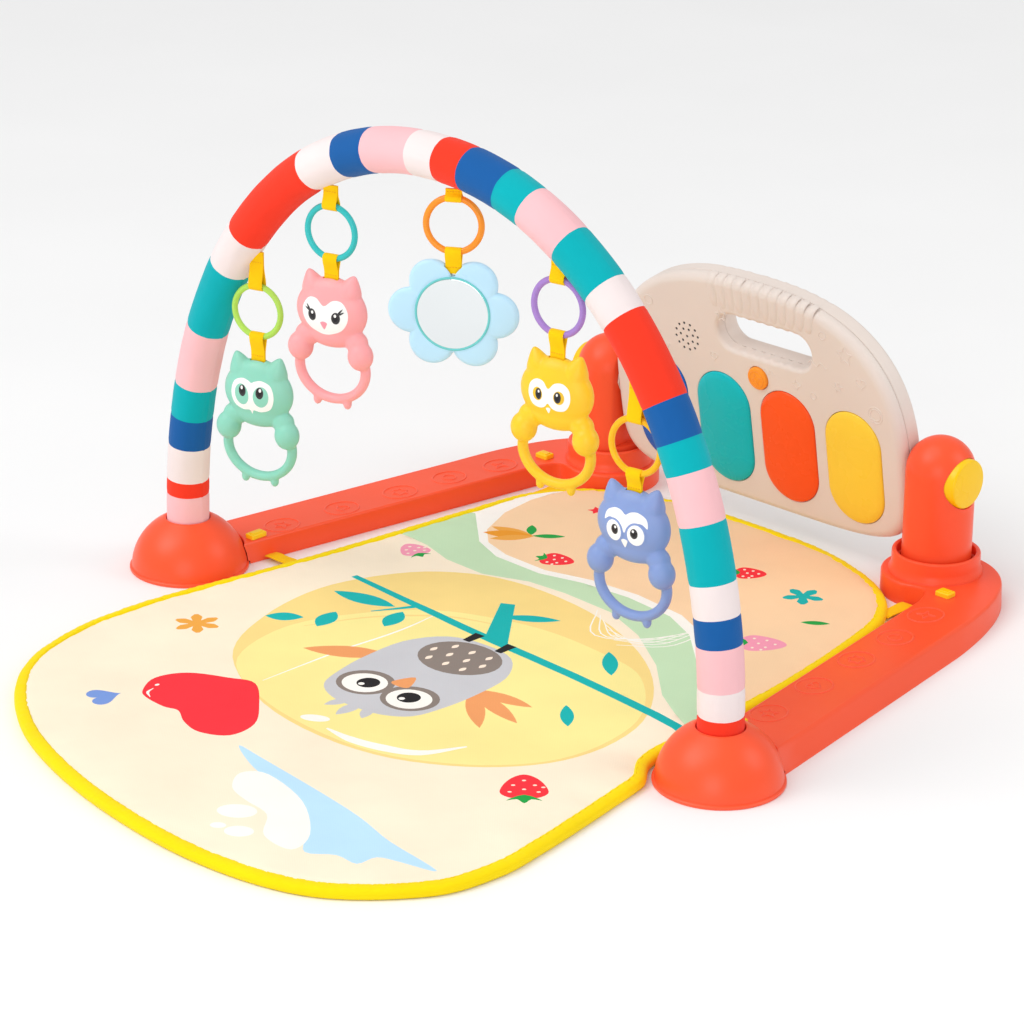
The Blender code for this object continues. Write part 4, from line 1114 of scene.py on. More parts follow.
def ribbon(name, node, body, hinge, end, turn, looks):
    """Doubled tape that goes round the wire at hinge and is sewn together at height end."""
    across, depth = facing(turn)
    way, reach = 1 if end > hinge.z else -1, abs(end - hinge.z)
    radius = LOOP_R - RIBBON_T / 2 - 0.0001
    leg = [(HALF_GAP + (radius - HALF_GAP) * (0.5 + 0.5 * cos(pi * min(t / 0.62, 1.0))), t * reach)
           for t in (i / 10 for i in range(10, 0, -1))]
    loop = [(radius * cos(t), -radius * sin(t)) for t in (pi * i / 14 for i in range(15))]
    line, path, marks = leg + loop + [(-u, v) for u, v in leg[::-1]], [], []
    for (u, v), du, dv in slopes(line):
        up = depth * dv + Vector((0, 0, -way * du))
        path.append((hinge + depth * u + Vector((0, 0, way * v)), up))
    for face in (-1, 1):
        outside = depth * (face * (HALF_GAP + RIBBON_T / 2 + 0.0001))
        seam = hinge + outside + Vector((0, 0, way * reach * 0.70))
        for k in range(5):
            start = seam + across * (-0.0055 + 0.0023 * k)
            marks.append((start, start + across * 0.0016, 1))
    strip_piece(name, node, body, path, across, RIBBON_W, RIBBON_T - 0.0001, looks, marks)


def build_ring(name, centre, across, colour):
    """Ring of round wire with a faint moulding line inside and outside."""
    rings = []
    for i in range(96):
        t = TURN * i / 96
        out = across * cos(t) + Vector((0, 0, sin(t)))
        side = out.cross(across.cross(Vector((0, 0, 1)))).cross(out).normalized()
        ring = []
        for a in (TURN * k / 20 for k in range(20)):
            r = WIRE_R * (1 + 0.045 * exp(-((abs(sin(a / 2)) - 1) / 0.012) ** 2)
                          + 0.045 * exp(-(sin(a / 2) / 0.10) ** 2))
            ring.append(tuple(centre + out * (RING_R + r * cos(a)) + side * r * sin(a)))
        rings.append(ring)
    look = plastic(f"{name}_ring_plastic", colour, 0.26, 0.1)
    Shape().loft(rings, closed=True).piece(f"{name}_link", f"{name}_hanger", look, f"ring_{name}",
                                           (f"{name}_ring",), sharp=70)


def build_hangers(looks):
    for name, x, ring_z, _, turn, colour in TOYS:
        turn, centre = radians(turn), Vector((x, ARCH_Y, ring_z))
        build_ring(name, centre, facing(turn)[0], colour)
        top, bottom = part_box(f"{name}_upper_ribbon")[1][2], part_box(f"{name}_lower_ribbon")[0][2]
        rise = Vector((0, 0, RING_R))
        ribbon(f"{name}_top_tape", f"{name}_upper_ribbon", "arch", centre + rise, top - 0.0006, turn, looks)
        ribbon(f"{name}_low_tape", f"{name}_lower_ribbon", f"{name}_toy", centre - rise, bottom + 0.0003,
               turn, looks)


def build_soft_straps():
    yellow = cloth_material("tape_fabric", 1500.0, 0.0002, 0.7, 0.06, tone(255, 205, 0))
    thread = cloth_material("tape_thread", 2500.0, 0.0001, 0.7, 0.2, tone(240, 170, 0))
    build_tabs([yellow, thread])
    build_hangers([yellow, thread])


# ---------------------------------------------------------------- piano panel

PANEL_HALF, PANEL_UP, PANEL_DOWN, PANEL_WALL = 0.163, 0.140, 0.076, 0.0022
FRONT_H, SPLIT_H, BACK_H = 0.019, 0.008, -0.009     # heights above the pivot's plane, front upwards
LEAN = radians(10)
SLOT = (0.018, 0.0895)
SLOT_HALF = (0.052, 0.0165)
GRIP_PITCH = 0.0104         # between the hollows that the fingers go in, above and below the slot
KEYS = (("blue", -0.106, (8, 104, 196)), ("teal", -0.034, (0, 190, 198)),
        ("orange", 0.038, (255, 88, 28)), ("yellow", 0.110, (255, 212, 62)))
KEY_HALF, KEY_V, KEY_GAP = (0.0298, 0.0530), -0.006, 0.0004
MODE, MODE_R = (0.009, 0.053), 0.0105
SPEAKER, SOUND_R = (-0.070, 0.073), 0.00125
BATTERY, DOOR_H = (0, -0.012), -0.0190
SWITCH = (0.080, 0.030)


def lean_back(shape):
    """Turns a shape drawn flat, front upwards, into the panel's place."""
    c, s = cos(LEAN), sin(LEAN)
    shape.points = [(u, ARCH_Y + POST_Y - h * c - v * s, PIVOT_Z - h * s + v * c)
                    for u, v, h in shape.points]
    return shape


def near_slot(x, reach, blend):
    """1 over the carrying slot's middle, falling to 0 at reach to either side of it."""
    return max(0.0, min(1.0, (reach - abs(x - SLOT[0])) / blend))


def panel_outline(depth=0.0, groove=0.0, count=360):
    """Panel edge moved inwards by depth; groove is how deep the grip's hollows go."""
    points = []
    for i in range(count):
        t = TURN * i / count
        height, power = (PANEL_UP, 2.6) if sin(t) >= 0 else (PANEL_DOWN, 5)
        u = copysign(abs(cos(t)) ** (2 / power), cos(t))
        v = copysign(abs(sin(t)) ** (2 / power), sin(t))
        x = PANEL_HALF * u
        cut = 0.0
        if v > 0:
            hollow = 0.5 - 0.5 * cos(TURN * (x - SLOT[0]) / GRIP_PITCH)
            cut = groove * near_slot(x, 0.064, 0.006) * hollow ** 0.7
        points.append(((PANEL_HALF - depth - cut) * u, (height - depth - cut) * v))
    return points


def slot_outline(depth, wave):
    corners = capsule(*SLOT_HALF, SLOT, 12)
    fine = []
    for i, p in enumerate(corners):
        q = Vector(corners[(i + 1) % len(corners)])
        steps = max(1, int((q - Vector(p)).length / 0.0013))
        fine += [tuple(Vector(p).lerp(q, k / steps)) for k in range(steps)]
    made = []
    for x, y in inset(fine, depth):
        lift = wave * near_slot(x, 0.040, 0.005) * cos(TURN * (x - SLOT[0]) / GRIP_PITCH)
        made.append((x, y + (lift if y > SLOT[1] else -lift)))
    return made


def panels(levels):
    """Rings of the panel's edge from (depth, groove, height) rows."""
    return [at_height(panel_outline(d, groove), h) for d, groove, h in levels]


def slots(levels):
    """Rings of the carrying slot from (depth, wave, height) rows."""
    return [at_height(slot_outline(d, wave), h) for d, wave, h in levels]


def hole(outline, top, bottom, bevel=0.0006):
    """Rings of a hole with a bevelled mouth, from the front face to the inner face."""
    mouth = [(-bevel, top), (-bevel * 0.3, top - bevel * 0.35)]
    return ([at_height(inset(outline, d), h) for d, h in mouth]
            + [at_height(outline, h) for h in (top - bevel, bottom)])


def panel_figures(shape, h):
    """Low moulded figures on the panel's face."""
    for x, y, r in ((0.137, 0.052, 0.0075), (0.137, 0.052, 0.0052), (-0.140, 0.046, 0.0070),
                    (-0.112, 0.098, 0.0045), (0.085, 0.113, 0.0036), (0.070, 0.052, 0.0030)):
        raised_line(shape, disc(r, 40, (x, y)), h, 0.0005, 0.00045)
    for x, y, r, tips, turn in ((0.108, 0.100, 0.0085, 5, 0.3), (-0.135, 0.076, 0.0075, 5, 0.9),
                                (0.052, 0.058, 0.0050, 4, 0.0), (-0.028, 0.104, 0.0060, 5, 0.5),
                                (0.098, 0.068, 0.0050, 6, 0.2), (-0.096, 0.058, 0.0045, 4, 0.4)):
        raised_line(shape, star_outline((x, y), r, r * 0.5, tips, turn, 3), h, 0.00045, 0.0004)
    for x, y, size in ((0.124, 0.078, 0.0055), (-0.040, 0.062, 0.0045)):
        raised_line(shape, heart_outline((x, y), size), h, 0.00045, 0.0004)
    for x, y, reach in ((0.078, 0.084, 0.010), (-0.110, 0.072, 0.009), (0.022, 0.062, 0.006)):
        wave = [(x + reach * (t - 0.5) * 2, y + 0.0022 * sin(t * 12)) for t in (i / 24 for i in range(25))]
        raised_line(shape, wave, h, 0.00045, 0.0004, closed=False)


def grip_ribs(shape):
    """Twelve rounded bars over the panel's upper edge, above the carrying slot."""
    for k in range(12):
        x = SLOT[0] + (k - 5.5) * 0.0094
        lean = (k - 5.5) * 0.0007
        edge = PANEL_UP * (1 - (abs(x) / PANEL_HALF) ** 2.6) ** (1 / 2.6)
        line = [(0.1095, FRONT_H - 0.0016, 1.0), (0.1120, FRONT_H - 0.0004, 1.0)]
        line += [(0.1120 + (edge - 0.0080 - 0.1120) * t, FRONT_H - 0.0002, 1.0) for t in (0.3, 0.7, 1.0)]
        for i in range(1, 7):
            t = pi / 2 * i / 6
            line.append((edge - 0.0080 + 0.0078 * sin(t), FRONT_H - 0.0082 + 0.0080 * cos(t), 1.0))
        line += [(edge - 0.0003, FRONT_H - 0.0095, 0.8), (edge - 0.0010, FRONT_H - 0.0102, 0.3)]
        rings = []
        for i, ((v, h, share), dv, dh) in enumerate(slopes(line)):
            grow = min(1.0, 0.35 + i * 0.35) * share
            ring = []
            for c, s in disc(1.0, 16):
                rise = 0.0013 * grow * s
                shift = lean * (v - 0.1095) / 0.03
                ring.append((x + shift + 0.0043 * grow * c, v - dh * rise, h + dv * rise))
            rings.append(ring)
        shape.loft(rings)


def build_front(cream, black):
    inner, corner, lip = FRONT_H - PANEL_WALL, 0.008, 0.0042
    borders = panels([(0.0095, 0.0004, FRONT_H)]
                     + [(d, 0.0013 * (1 - d / 0.0095), h)
                        for h, d in quarter(FRONT_H - corner, corner, 1, 10)[::-1]]
                     + [(0.0, 0.0009, SPLIT_H + 0.0012), (0.0004, 0.0, SPLIT_H + 0.0004),
                        (0.0010, 0.0, SPLIT_H), (PANEL_WALL, 0.0, SPLIT_H),
                        (PANEL_WALL, 0.0, FRONT_H - corner),
                        (0.0048, 0.0, inner - 0.0024), (0.0100, 0.0, inner)])
    holes = [slots([(-lip + lip * sin(t), 0.0005 * sin(t), FRONT_H - lip * (1 - cos(t)))
                    for t in (pi / 2 * i / 8 for i in range(9))]
                   + [(0.0, 0.0005, SPLIT_H), (-PANEL_WALL, 0.0, SPLIT_H),
                      (-PANEL_WALL, 0.0, inner - 0.003), (-0.0050, 0.0, inner)])]
    for _, x, _ in KEYS:
        mouth = capsule(KEY_HALF[0] + KEY_GAP, KEY_HALF[1] + KEY_GAP, (x, KEY_V), 20)
        holes.append(hole(mouth, FRONT_H, inner))
    holes.append(hole(disc(MODE_R + KEY_GAP, 48, MODE), FRONT_H, inner))
    # Painted shade: the speaker holes are filled with black to just under the face, standing for the shade in
    # them and the black speaker behind.
    hole_shade_fills = Shape()
    for r, count, turn in ((0.0126, 12, 0.15), (0.0072, 7, 0.3), (0.0, 1, 0.0)):
        c, s = cos(turn), sin(turn)
        for x, y in disc(r, count):
            mouth = disc(SOUND_R, 14, (SPEAKER[0] + x * c - y * s, SPEAKER[1] + x * s + y * c))
            holes.append(hole(mouth, FRONT_H, inner, 0.0002))
            hole_shade_fills.loft([at_height(mouth, h) for h in (inner, FRONT_H - 0.0004)])
    shape = Shape().plate(borders, holes)
    shape.skin(hole_shade_fills.points, hole_shade_fills.faces, look=1)
    panel_figures(shape, FRONT_H)
    grip_ribs(shape)
    lean_back(shape).piece("piano_face", "piano", [cream, black], "panel_plastic",
                           ("piano_front_shell",), 40, True)


def screw(shape, centre, h, r=0.0031):
    """Round screw head with a cross slot, on a face that looks backwards."""
    rings = [at_height(disc(q, 32, centre), z)
             for q, z in ((r, h + 0.0006), (r, h), (r * 0.86, h - 0.0005), (r * 0.5, h - 0.0008))]
    cross = []
    for k, (c, s) in enumerate(disc(r, 32)):
        arm = 0.42 if k % 8 in (7, 0, 1) else 0.16
        cross.append((centre[0] + arm * c, centre[1] + arm * s))
    shape.loft(rings + [at_height(cross, h - 0.0008), at_height(cross, h)], look=1)


def build_back(cream, steel):
    inner, seam, corner, lip = BACK_H + PANEL_WALL, SPLIT_H - KEY_GAP, 0.006, 0.0034
    borders = panels([(0.0100, 0.0, inner), (0.0045, 0.0, inner + 0.0018), (PANEL_WALL, 0.0, BACK_H + corner),
                      (PANEL_WALL, 0.0, seam), (0.0010, 0.0, seam), (0.0004, 0.0, seam - 0.0004),
                      (0.0, 0.0009, seam - 0.0012)]
                     + [(d, 0.0009 * (1 - d / corner), h)
                        for h, d in quarter(BACK_H + corner, corner, -1, 8)])
    holes = [slots([(-0.0050, 0.0, inner), (-PANEL_WALL, 0.0, inner + 0.003), (-PANEL_WALL, 0.0, seam),
                    (0.0, 0.0, seam)]
                   + [(-lip * (1 - cos(t)), 0.0, BACK_H + lip * (1 - sin(t)))
                      for t in (pi / 2 * i / 6 for i in range(7))])]
    for line in (rounded(0.0268, 0.0238, 0.0015, BATTERY), rounded(0.0074, 0.0034, 0.0008, SWITCH)):
        holes.append([at_height(line, inner), at_height(line, BACK_H + 0.0004),
                      at_height(inset(line, -0.0004), BACK_H)])
    shape = Shape().plate(borders, holes)
    boss = [(0.0290, 0.0035, inner - 0.001), (0.0290, 0.0035, -0.0178), (0.0286, 0.0033, -0.0186),
            (0.0278, 0.0028, -0.0190), (0.0272, 0.0020, -0.0190), (0.0268, 0.0015, -0.0186),
            (0.0268, 0.0015, inner - 0.001)]
    shape.loft([at_height(rounded(w, w - 0.0030, r, BATTERY), h) for w, r, h in boss], closed=True)
    # Raised lines round the battery well, the switch and the rim, two dots, and seven bars below the grille
    beads = [(rounded(0.044, 0.040, 0.005, BATTERY), 0.0007, 0.0005),
             (rounded(0.0125, 0.0070, 0.005, SWITCH), 0.0007, 0.0005)]
    beads += [(panel_outline(d, 0.0, 160), 0.0005, 0.0004) for d in (0.0150, 0.0172)]
    beads += [(disc(0.0013, 12, (SWITCH[0] + x, SWITCH[1] + 0.0050)), 0.0003, 0.0003)
              for x in (-0.008, 0.008)]
    beads += [(capsule(0.022, 0.0009, (SPEAKER[0], 0.074 - 0.0042 * k), 5), 0.0005, 0.0005) for k in range(7)]
    for line, half, rise in beads:
        raised_line(shape, line, BACK_H, half, rise)
    for spot in ((-0.128, -0.050), (0.128, -0.050), (-0.132, 0.052), (0.132, 0.052), (-0.058, 0.122),
                 (0.086, 0.112), (-0.062, -0.062), (0.062, -0.062)):
        raised_line(shape, disc(0.0052, 32, spot), BACK_H, 0.0008, 0.0006)
        screw(shape, spot, BACK_H - 0.0003)
    lean_back(shape).piece("piano_back", "piano", [cream, steel], "panel_plastic",
                           ("piano_back_shell",), 40, True)

    levels = [(-0.0172, 0.0), (-0.0184, 0.0), (-0.0188, 0.0003), (DOOR_H, 0.0009)]
    door = Shape().loft([at_height(rounded(0.0264 - d, 0.0234 - d, 0.0014, BATTERY), h) for h, d in levels])
    for k in range(5):
        spot = (BATTERY[0], BATTERY[1] + 0.0130 + 0.0020 * k)
        raised_line(door, capsule(0.0090, 0.0006, spot, 5), DOOR_H, 0.0004, 0.0004)
    arrow = tenths(0, -60, 50, 0, 18, 0, 18, 60, -18, 60, -18, 0, -50, 0)
    raised_line(door, [(u, v + BATTERY[1]) for u, v in arrow], DOOR_H, 0.0004, 0.0004)
    screw(door, (BATTERY[0], BATTERY[1] - 0.0170), DOOR_H, 0.0028)
    lean_back(door).piece("battery_lid", "battery_cover", [cream, steel], "panel_plastic",
                           ("battery_door",), 40)


def build_controls(dark):
    for name, x, rgb in KEYS:
        look = plastic(f"key_{name}_plastic", tone(*rgb), 0.27, 0.04, shine=0.20)
        levels = tenths(138, 12, 162, 12, 163, 0)
        levels += tenths(188, 0, 196, 3, 201, 9, 206, 19, 213, 42, 216, 54)
        levels += [(0.0217 + 0.0019 * (1 - (1 - (d - 0.0060) / 0.0230) ** 2), d)
                   for d in np.linspace(0.0066, 0.0288, 12)]
        shape = Shape().loft([at_height(capsule(KEY_HALF[0] - d, KEY_HALF[1] - d, (x, KEY_V), 20), h)
                              for h, d in levels])
        lean_back(shape).piece(f"{name}_piano_key", f"{name}_key_lever", look, f"key_{name}",
                               (f"{name}_key",), 50)

    levels = tenths(140, 12, 162, 12, 163, 0) + quarter(0.0200, 0.0014)
    levels += [(0.0214 + 0.0007 * (1 - (1 - (d - 0.0014) / 0.0091) ** 2), d)
               for d in np.linspace(0.0022, 0.0100, 6)]
    shape = Shape().loft([at_height(disc(MODE_R - d, 48, MODE), h) for h, d in levels])
    raised_line(shape, star_outline(MODE, 0.0052, 0.0022, 4, 0.3, 3), 0.0220, 0.0004, 0.0004)
    raised_line(shape, disc(0.0074, 40, MODE), 0.02165, 0.0004, 0.0004)
    look = plastic("mode_plastic", tone(255, 156, 40), 0.3, 0.15)
    lean_back(shape).piece("mode_knob", "mode_press", look, "orange_plastic", ("mode_button",), 45)

    place = (SWITCH[0] - 0.002, SWITCH[1])
    shape = Shape().loft([at_height(rounded(0.0095, 0.0045, 0.0008, place), h) for h in (-0.0040, -0.0061)])
    nub = tenths(-60, 0, -106, 0, -111, 4)
    shape.loft([at_height(rounded(0.0048 - d, 0.0030 - d, 0.0007, place), h) for h, d in nub])
    for k in (-1, 0, 1):
        shape.loft([at_height(rounded(0.0005, 0.0024, 0.0003, (place[0] + 0.0022 * k, place[1])), h)
                    for h in (-0.0110, -0.0113)])
    lean_back(shape).piece("slide_switch", "switch_slider", dark, "switch_plastic", ("power_switch",), 40)


def build_piano():
    cream = plastic("panel_cream", tone(229, 216, 207), 0.42, 0.35)
    g = Graph("screw_steel")
    steel = g.set(Base_Color=(0.55, 0.55, 0.56, 1.0), Metallic=1.0,
                  Roughness=g.ramp(g.noise(300.0, 3.0), 0.3, 0.7, 0.25, 0.45))
    dark = plastic("switch_dark", (0.03, 0.03, 0.034), 0.5)
    # This black is the speaker's own colour, and also the painted shade that fills the speaker holes.
    black = plastic("speaker_black_and_hole_shade", (0.012, 0.012, 0.013), 0.6)
    build_front(cream, black)
    build_back(cream, steel)
    build_controls(dark)
    stand_in(["left_pivot_hub", "right_pivot_hub"], cream)
    stand_in(["speaker"], black)
    g = Graph("board")
    lines = g.math("SINE", g.math("MULTIPLY", g.add("SeparateXYZ", {0: g.place()}).outputs[0], 2400.0))
    tracks = g.mix(g.ramp(lines, 0.55, 0.75, 0.0, 1.0), (0.02, 0.16, 0.06), (0.05, 0.28, 0.11))
    stand_in(["circuit_board"], g.set(Base_Color=tracks, Roughness=0.4))
    stand_in([f"battery_{i}" for i in (1, 2, 3)], plastic("battery_blue", (0.02, 0.09, 0.32), 0.25, 0.1))


# ---------------------------------------------------------------- hanging toys

OWL_COLOURS = {"mint": (142, 212, 190), "pink": (253, 168, 170), "yellow": (253, 203, 42),
               "blue": (134, 157, 210)}
VOXEL, SOFTENING = 0.00085, (0.5, 9)        # how an owl's parts are fused, then smoothed
FACE_SPACING, FACE_LIFT, LAYER_T, FACE_SINK = 0.0016, 0.00022, 0.00010, -0.0006
# How large and how low each printed face sits on its head
FACE_FIT = {"mint": (0.87, 0.0), "pink": (0.94, -0.0018), "yellow": (0.85, -0.0004), "blue": (0.88, -0.0005)}


def mirrored(half):
    """Closed smooth outline from its right half, listed from the bottom middle to the top middle."""
    return smooth_loop(half + [(-u, v) for u, v in half[-2:0:-1]], 5)


def both(centre, half_w, half_h, turn=0.0, count=28):
    return [blob((side * centre[0], centre[1]), half_w, half_h, side * turn, count) for side in (-1, 1)]


def owl_faces():
    """Printed layers of each face, lowest first: (colour, outlines), from the head's middle."""
    white, black = (250, 250, 248), (24, 20, 24)
    shine = both((0.0100, 0.0062), 0.0013, 0.0018, 0.0, 12)
    goggles = mirrored(tenths(0, -190, 22, -150, 100, -158, 195, -118, 232, -10, 200, 105, 110, 150,
                              40, 140, 0, 122))
    heart = mirrored(tenths(0, -165, 72, -152, 160, -110, 215, -30, 218, 62, 162, 140, 80, 146, 0, 92))
    lobes = mirrored(tenths(0, -68, 40, -108, 100, -125, 175, -104, 218, -20, 206, 80, 140, 134, 60, 126,
                            0, 70))
    brow = mirrored(tenths(0, -30, 30, 30, 90, 70, 165, 75, 218, 42, 200, 120, 120, 164, 50, 158, 0, 130))
    lashes = [leaf((side * 0.0125, 0.0025), (side * u, v), 0.0016, 6)
              for side in (-1, 1) for u, v in ((0.0178, 0.0088), (0.0192, 0.0060))]

    def beak(v, half_w, half_h):
        return mirrored([(0, v - half_h), (half_w * 0.75, v), (half_w, v + half_h * 0.7), (0, v + half_h)])

    return {
        "mint": [(white, [goggles]), (OWL_COLOURS["mint"], both((0.0104, -0.0005), 0.0080, 0.0102, -0.12)),
                 (black, both((0.0094, 0.0034), 0.0040, 0.0056)), (white, shine)],
        "pink": [(white, [heart]), ((250, 150, 165), [beak(-0.0080, 0.0032, 0.0036)]),
                 (black, both((0.0116, 0.0000), 0.0040, 0.0052, -0.1) + lashes),
                 (white, both((0.0112, 0.0022), 0.0012, 0.0014, 0.0, 12))],
        "yellow": [(white, [lobes, beak(-0.0135, 0.0022, 0.0028)]),
                   ((236, 190, 30), both((0.0112, 0.0004), 0.0054, 0.0062)),
                   (black, both((0.0100, 0.0006), 0.0034, 0.0052)),
                   (white, both((0.0096, 0.0030), 0.0010, 0.0013, 0, 12))],
        "blue": [(white, [brow]), (OWL_COLOURS["blue"], both((0.0110, -0.0030), 0.0096, 0.0108, -0.1)),
                 (white, both((0.0112, -0.0034), 0.0080, 0.0094, -0.1) + [beak(-0.0130, 0.0030, 0.0040)]),
                 (black, both((0.0098, -0.0020), 0.0036, 0.0046)),
                 (white, both((0.0090, 0.0002), 0.0011, 0.0012, 0, 12))],
    }


def ball(shape, centre, half, count=32, levels=18):
    """Adds an ellipsoid with an upright axis."""
    rings = []
    for i in range(levels + 1):
        t = radians(-89 + 178 * i / levels)
        r, z = cos(t), sin(t)
        rings.append([(centre[0] + half[0] * r * c, centre[1] + half[1] * r * s, centre[2] + half[2] * z)
                      for c, s in disc(1.0, count)])
    shape.loft(rings)


def toy_place(shape, x, turn):
    """Turns a shape drawn with its front towards -Y and stands it below the arch at x."""
    c, s = cos(turn), sin(turn)
    shape.points = [(x + u * c - w * s, ARCH_Y + u * s + w * c, z) for u, w, z in shape.points]
    return shape


def ribbon_slot(x, turn, half_w, corner, low, high):
    """Closed shape of the slot that a toy's ribbon goes through."""
    outline = rounded(0.0071, half_w, corner)
    return toy_place(Shape().loft([at_height(outline, z) for z in (low, high)]), x, turn)


def owl_lumps(top):
    """The owl's parts as overlapping rounded bodies."""
    shape = Shape()
    ball(shape, (0, 0, top - 0.0285), (0.0322, 0.0134, 0.0265), 48, 28)
    ball(shape, (0, 0.0002, top - 0.0180), (0.0250, 0.0112, 0.0178), 40, 24)
    ball(shape, (0, 0.0005, top - 0.0450), (0.0262, 0.0112, 0.0140), 40, 24)
    rings = []
    for c, s in disc(1.0, 72):
        out = Vector((s, 0, c))
        middle = Vector((0.0309 * s, 0, top - 0.0765 + 0.0262 * c))
        rings.append([tuple(middle + out * (0.0041 * a) + Vector((0, 0.0046 * b, 0)))
                      for a, b in disc(1.0, 16)])
    shape.loft(rings, closed=True)
    for side in (-1, 1):
        base, tip = Vector((side * 0.0160, 0, top - 0.0120)), Vector((side * 0.0210, 0, top + 0.0024))
        for i in range(13):
            f = i / 12
            r = 0.0092 * (1 - f) ** 0.85 + 0.0016
            place = base.lerp(tip, f)
            ball(shape, place, (r, 0.82 * r, r), 20, 10)
        ball(shape, (side * 0.0280, -0.0030, top - 0.0615), (0.0108, 0.0096, 0.0120))
        ball(shape, (side * 0.0235, -0.0010, top - 0.0515), (0.0098, 0.0080, 0.0095), 24, 12)
        ball(shape, (side * 0.0140, -0.0006, top - 0.1050), (0.0037, 0.0034, 0.0050), 20, 10)
    return shape


def build_owl(name, x, top, turn, looks):
    skin, inks = looks
    lumps = toy_place(owl_lumps(top), x, turn)
    made = lumps.piece(f"{name}_teether", f"{name}_toy", skin, f"toy_{name}", (f"{name}_owl",))
    fuse = made.modifiers.new("fuse", "REMESH")
    fuse.mode, fuse.voxel_size, fuse.use_smooth_shade = "VOXEL", VOXEL, True
    soften = made.modifiers.new("soften", "SMOOTH")
    soften.factor, soften.iterations = SOFTENING
    bake(made)
    cut_away(made, ribbon_slot(x, turn, 0.0028, 0.0010, top - 0.0058, top + 0.0060), f"{name}_toy", skin, 42)

    mesh, (across, depth) = made.data, facing(turn)
    tree = BVHTree.FromPolygons([v.co.copy() for v in mesh.vertices],
                                [tuple(p.vertices) for p in mesh.polygons])
    start, decals, (size, drop) = Vector((x, ARCH_Y, top - 0.0280)), Shape(), FACE_FIT[name]

    def on_head(u, v, lift):
        origin = start + across * u * size + Vector((0, 0, v * size + drop)) - depth * 0.05
        hit, normal = tree.ray_cast(origin, depth)[:2]
        return tuple(hit + normal * lift)

    palette = {}
    for level, (colour, outlines) in enumerate(owl_faces()[name]):
        look = palette.setdefault(colour, len(palette))
        for outline in outlines:
            thick = FACE_LIFT + LAYER_T * level
            verts, front, _, _ = sheet_mesh(outline, FACE_SPACING)
            total = len(verts)
            edges = {(a, b): True for f in front for a, b in zip(f, f[1:] + f[:1])}
            solid = front + [tuple(i + total for i in f[::-1]) for f in front]
            solid += [(b, a, a + total, b + total) for a, b in edges if (b, a) not in edges]
            decals.skin([on_head(*p, lift) for lift in (thick, FACE_SINK) for p in verts], solid, look)
    colours = [inks(colour) for colour in palette]
    decals.piece(f"{name}_face", f"{name}_toy", colours, f"toy_{name}", sharp=60)


PETALS = [Vector((0.0335 * cos(k * pi / 3), 0.0275 * sin(k * pi / 3))) for k in range(6)]
PETAL_R, SEAT_R, FLOWER_STEPS = 0.0185, 0.0293, 240


def flower_outline(depth):
    petal, points = PETAL_R - depth, []
    for c, s in disc(1.0, FLOWER_STEPS):
        way, reach = Vector((c, s)), 0.0
        for middle in PETALS:
            along = middle.dot(way)
            off = petal ** 2 - (middle.length_squared - along ** 2)
            if off > 0:
                reach = max(reach, along + sqrt(off))
        points.append(tuple(way * reach))
    return points


def petal_ring(share, way):
    """Ring on a puffed face of the flower, from its edge, share 0, to the mirror's seat, share 1."""
    ring = []
    for p, q in zip(flower_outline(0.0026), disc(SEAT_R, FLOWER_STEPS)):
        at = Vector(p).lerp(Vector(q), share)
        near = min((at - c).length for c in PETALS) / 0.0165
        puff = sqrt(max(0.0, 1 - min(near, 1.0) ** 2))
        ring.append((at.x, at.y, way * (0.0030 + 0.0010 * puff * min(1.0, share * 3 + 0.3))))
    return ring


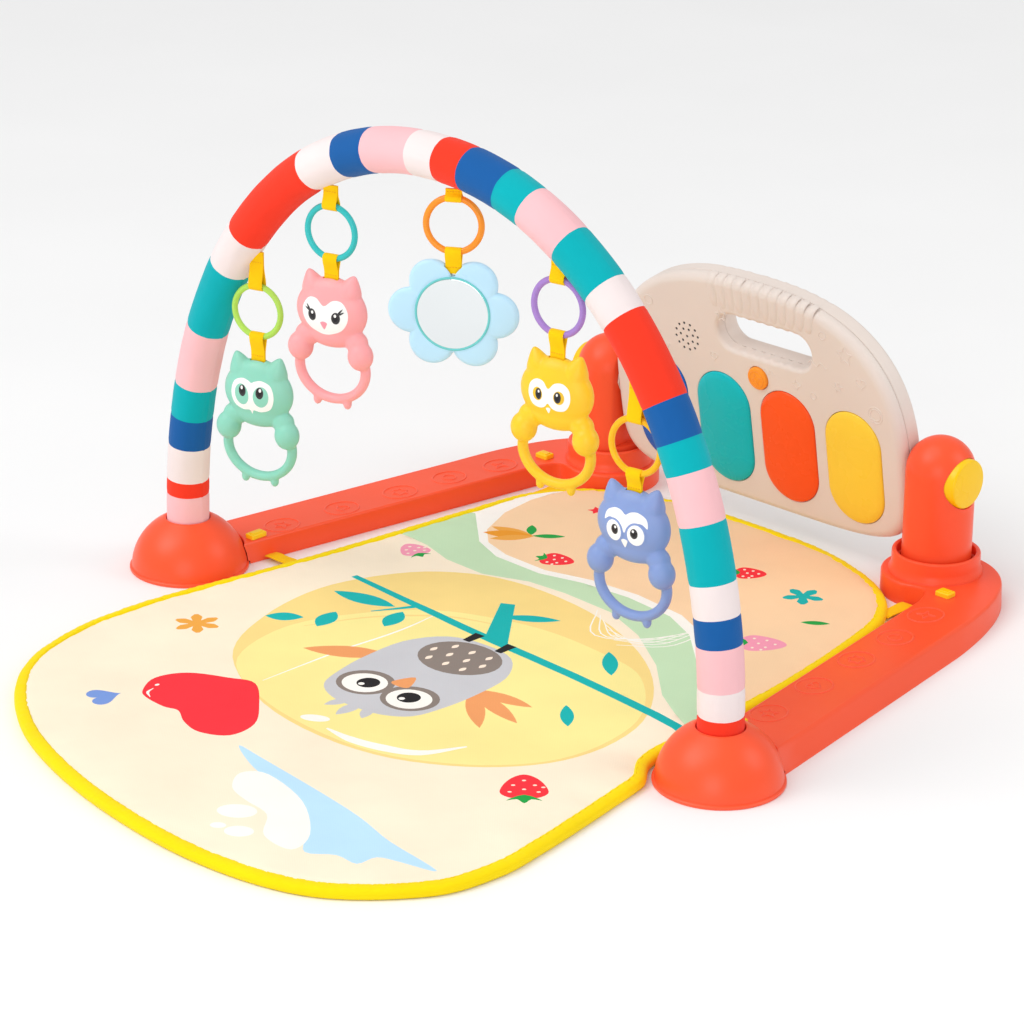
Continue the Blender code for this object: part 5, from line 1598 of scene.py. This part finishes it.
def build_flower(x, top, turn):
    def place(rings, closed=False):
        """Loft of rings drawn flat, stood up and hung in place."""
        upright = [[(u, -h, top - 0.0317 + v) for u, v, h in ring] for ring in rings]
        return toy_place(Shape().loft(upright, closed), x, turn)

    def flat(radius, h):
        return at_height(disc(radius, FLOWER_STEPS), h)

    shares = (0.0, 0.08, 0.2, 0.4, 0.6, 0.8)
    rings = [flat(0.0200, -0.0034), flat(SEAT_R, -0.0036)] + [petal_ring(share, -1) for share in shares[::-1]]
    rings += [at_height(flower_outline(d), h) for h, d in
              ((-0.0024, 0.0014), (-0.0014, 0.0004), (0.0, 0.0), (0.0014, 0.0004), (0.0024, 0.0014))]
    rings += [petal_ring(share, 1) for share in shares + (1.0,)]
    rings += [flat(0.0289, 0.0034), flat(0.0289, 0.0020)]
    look = plastic("flower_plastic", tone(190, 230, 252), 0.3, 0.1)
    petals = place(rings).piece("flower_petals", "flower_toy", look, "toy_flower", ("mirror_flower",), 60)
    cut_away(petals, ribbon_slot(x, turn, 0.0026, 0.0008, top - 0.0015, top + 0.0200), "flower_toy", look, 60)

    g = Graph("mirror_film")
    film = g.set(Base_Color=(0.76, 0.79, 0.80, 1.0), Metallic=1.0,
                 Roughness=g.ramp(g.noise(45.0, 2.0), 0.3, 0.7, 0.05, 0.11))
    levels = tenths(23, 284, 38, 284, 41, 280)
    levels += [(0.0041 + 0.0004 * (1 - (r / 0.0277) ** 2), r) for r in np.linspace(0.0276, 0.0010, 10)]
    mirror = place([at_height(disc(r, 96), h) for h, r in levels])
    mirror.piece("mirror_disc", "flower_toy", film, "mirror_film", ("flower_mirror",), 50)
    bead = [[((0.02895 + 0.0010 * a) * c, (0.02895 + 0.0010 * a) * s, 0.0038 + 0.0008 * b)
             for a, b in disc(1.0, 12)] for c, s in disc(1.0, 120)]
    rim = plastic("mirror_rim", tone(110, 205, 205), 0.3, 0.1)
    place(bead, closed=True).piece("mirror_ring", "flower_toy", rim, "toy_flower", sharp=70)


def build_toys():
    known = {}

    def ink(colour):
        if colour not in known:
            known[colour] = plastic(f"ink_{len(known)}", tone(*colour), 0.25, 0.08)
        return known[colour]

    for name, x, _, top, turn, _ in TOYS:
        turn = radians(turn)
        if name == "flower":
            build_flower(x, top, turn)
        else:
            skin = plastic(f"{name}_owl_plastic", tone(*OWL_COLOURS[name]), 0.36, 0.15, 0.05)
            build_owl(name, x, top, turn, (skin, ink))


# ---------------------------------------------------------------- making

build_stage()
build_base()
build_sleeve()
build_mat()
build_soft_straps()
build_piano()
build_toys()
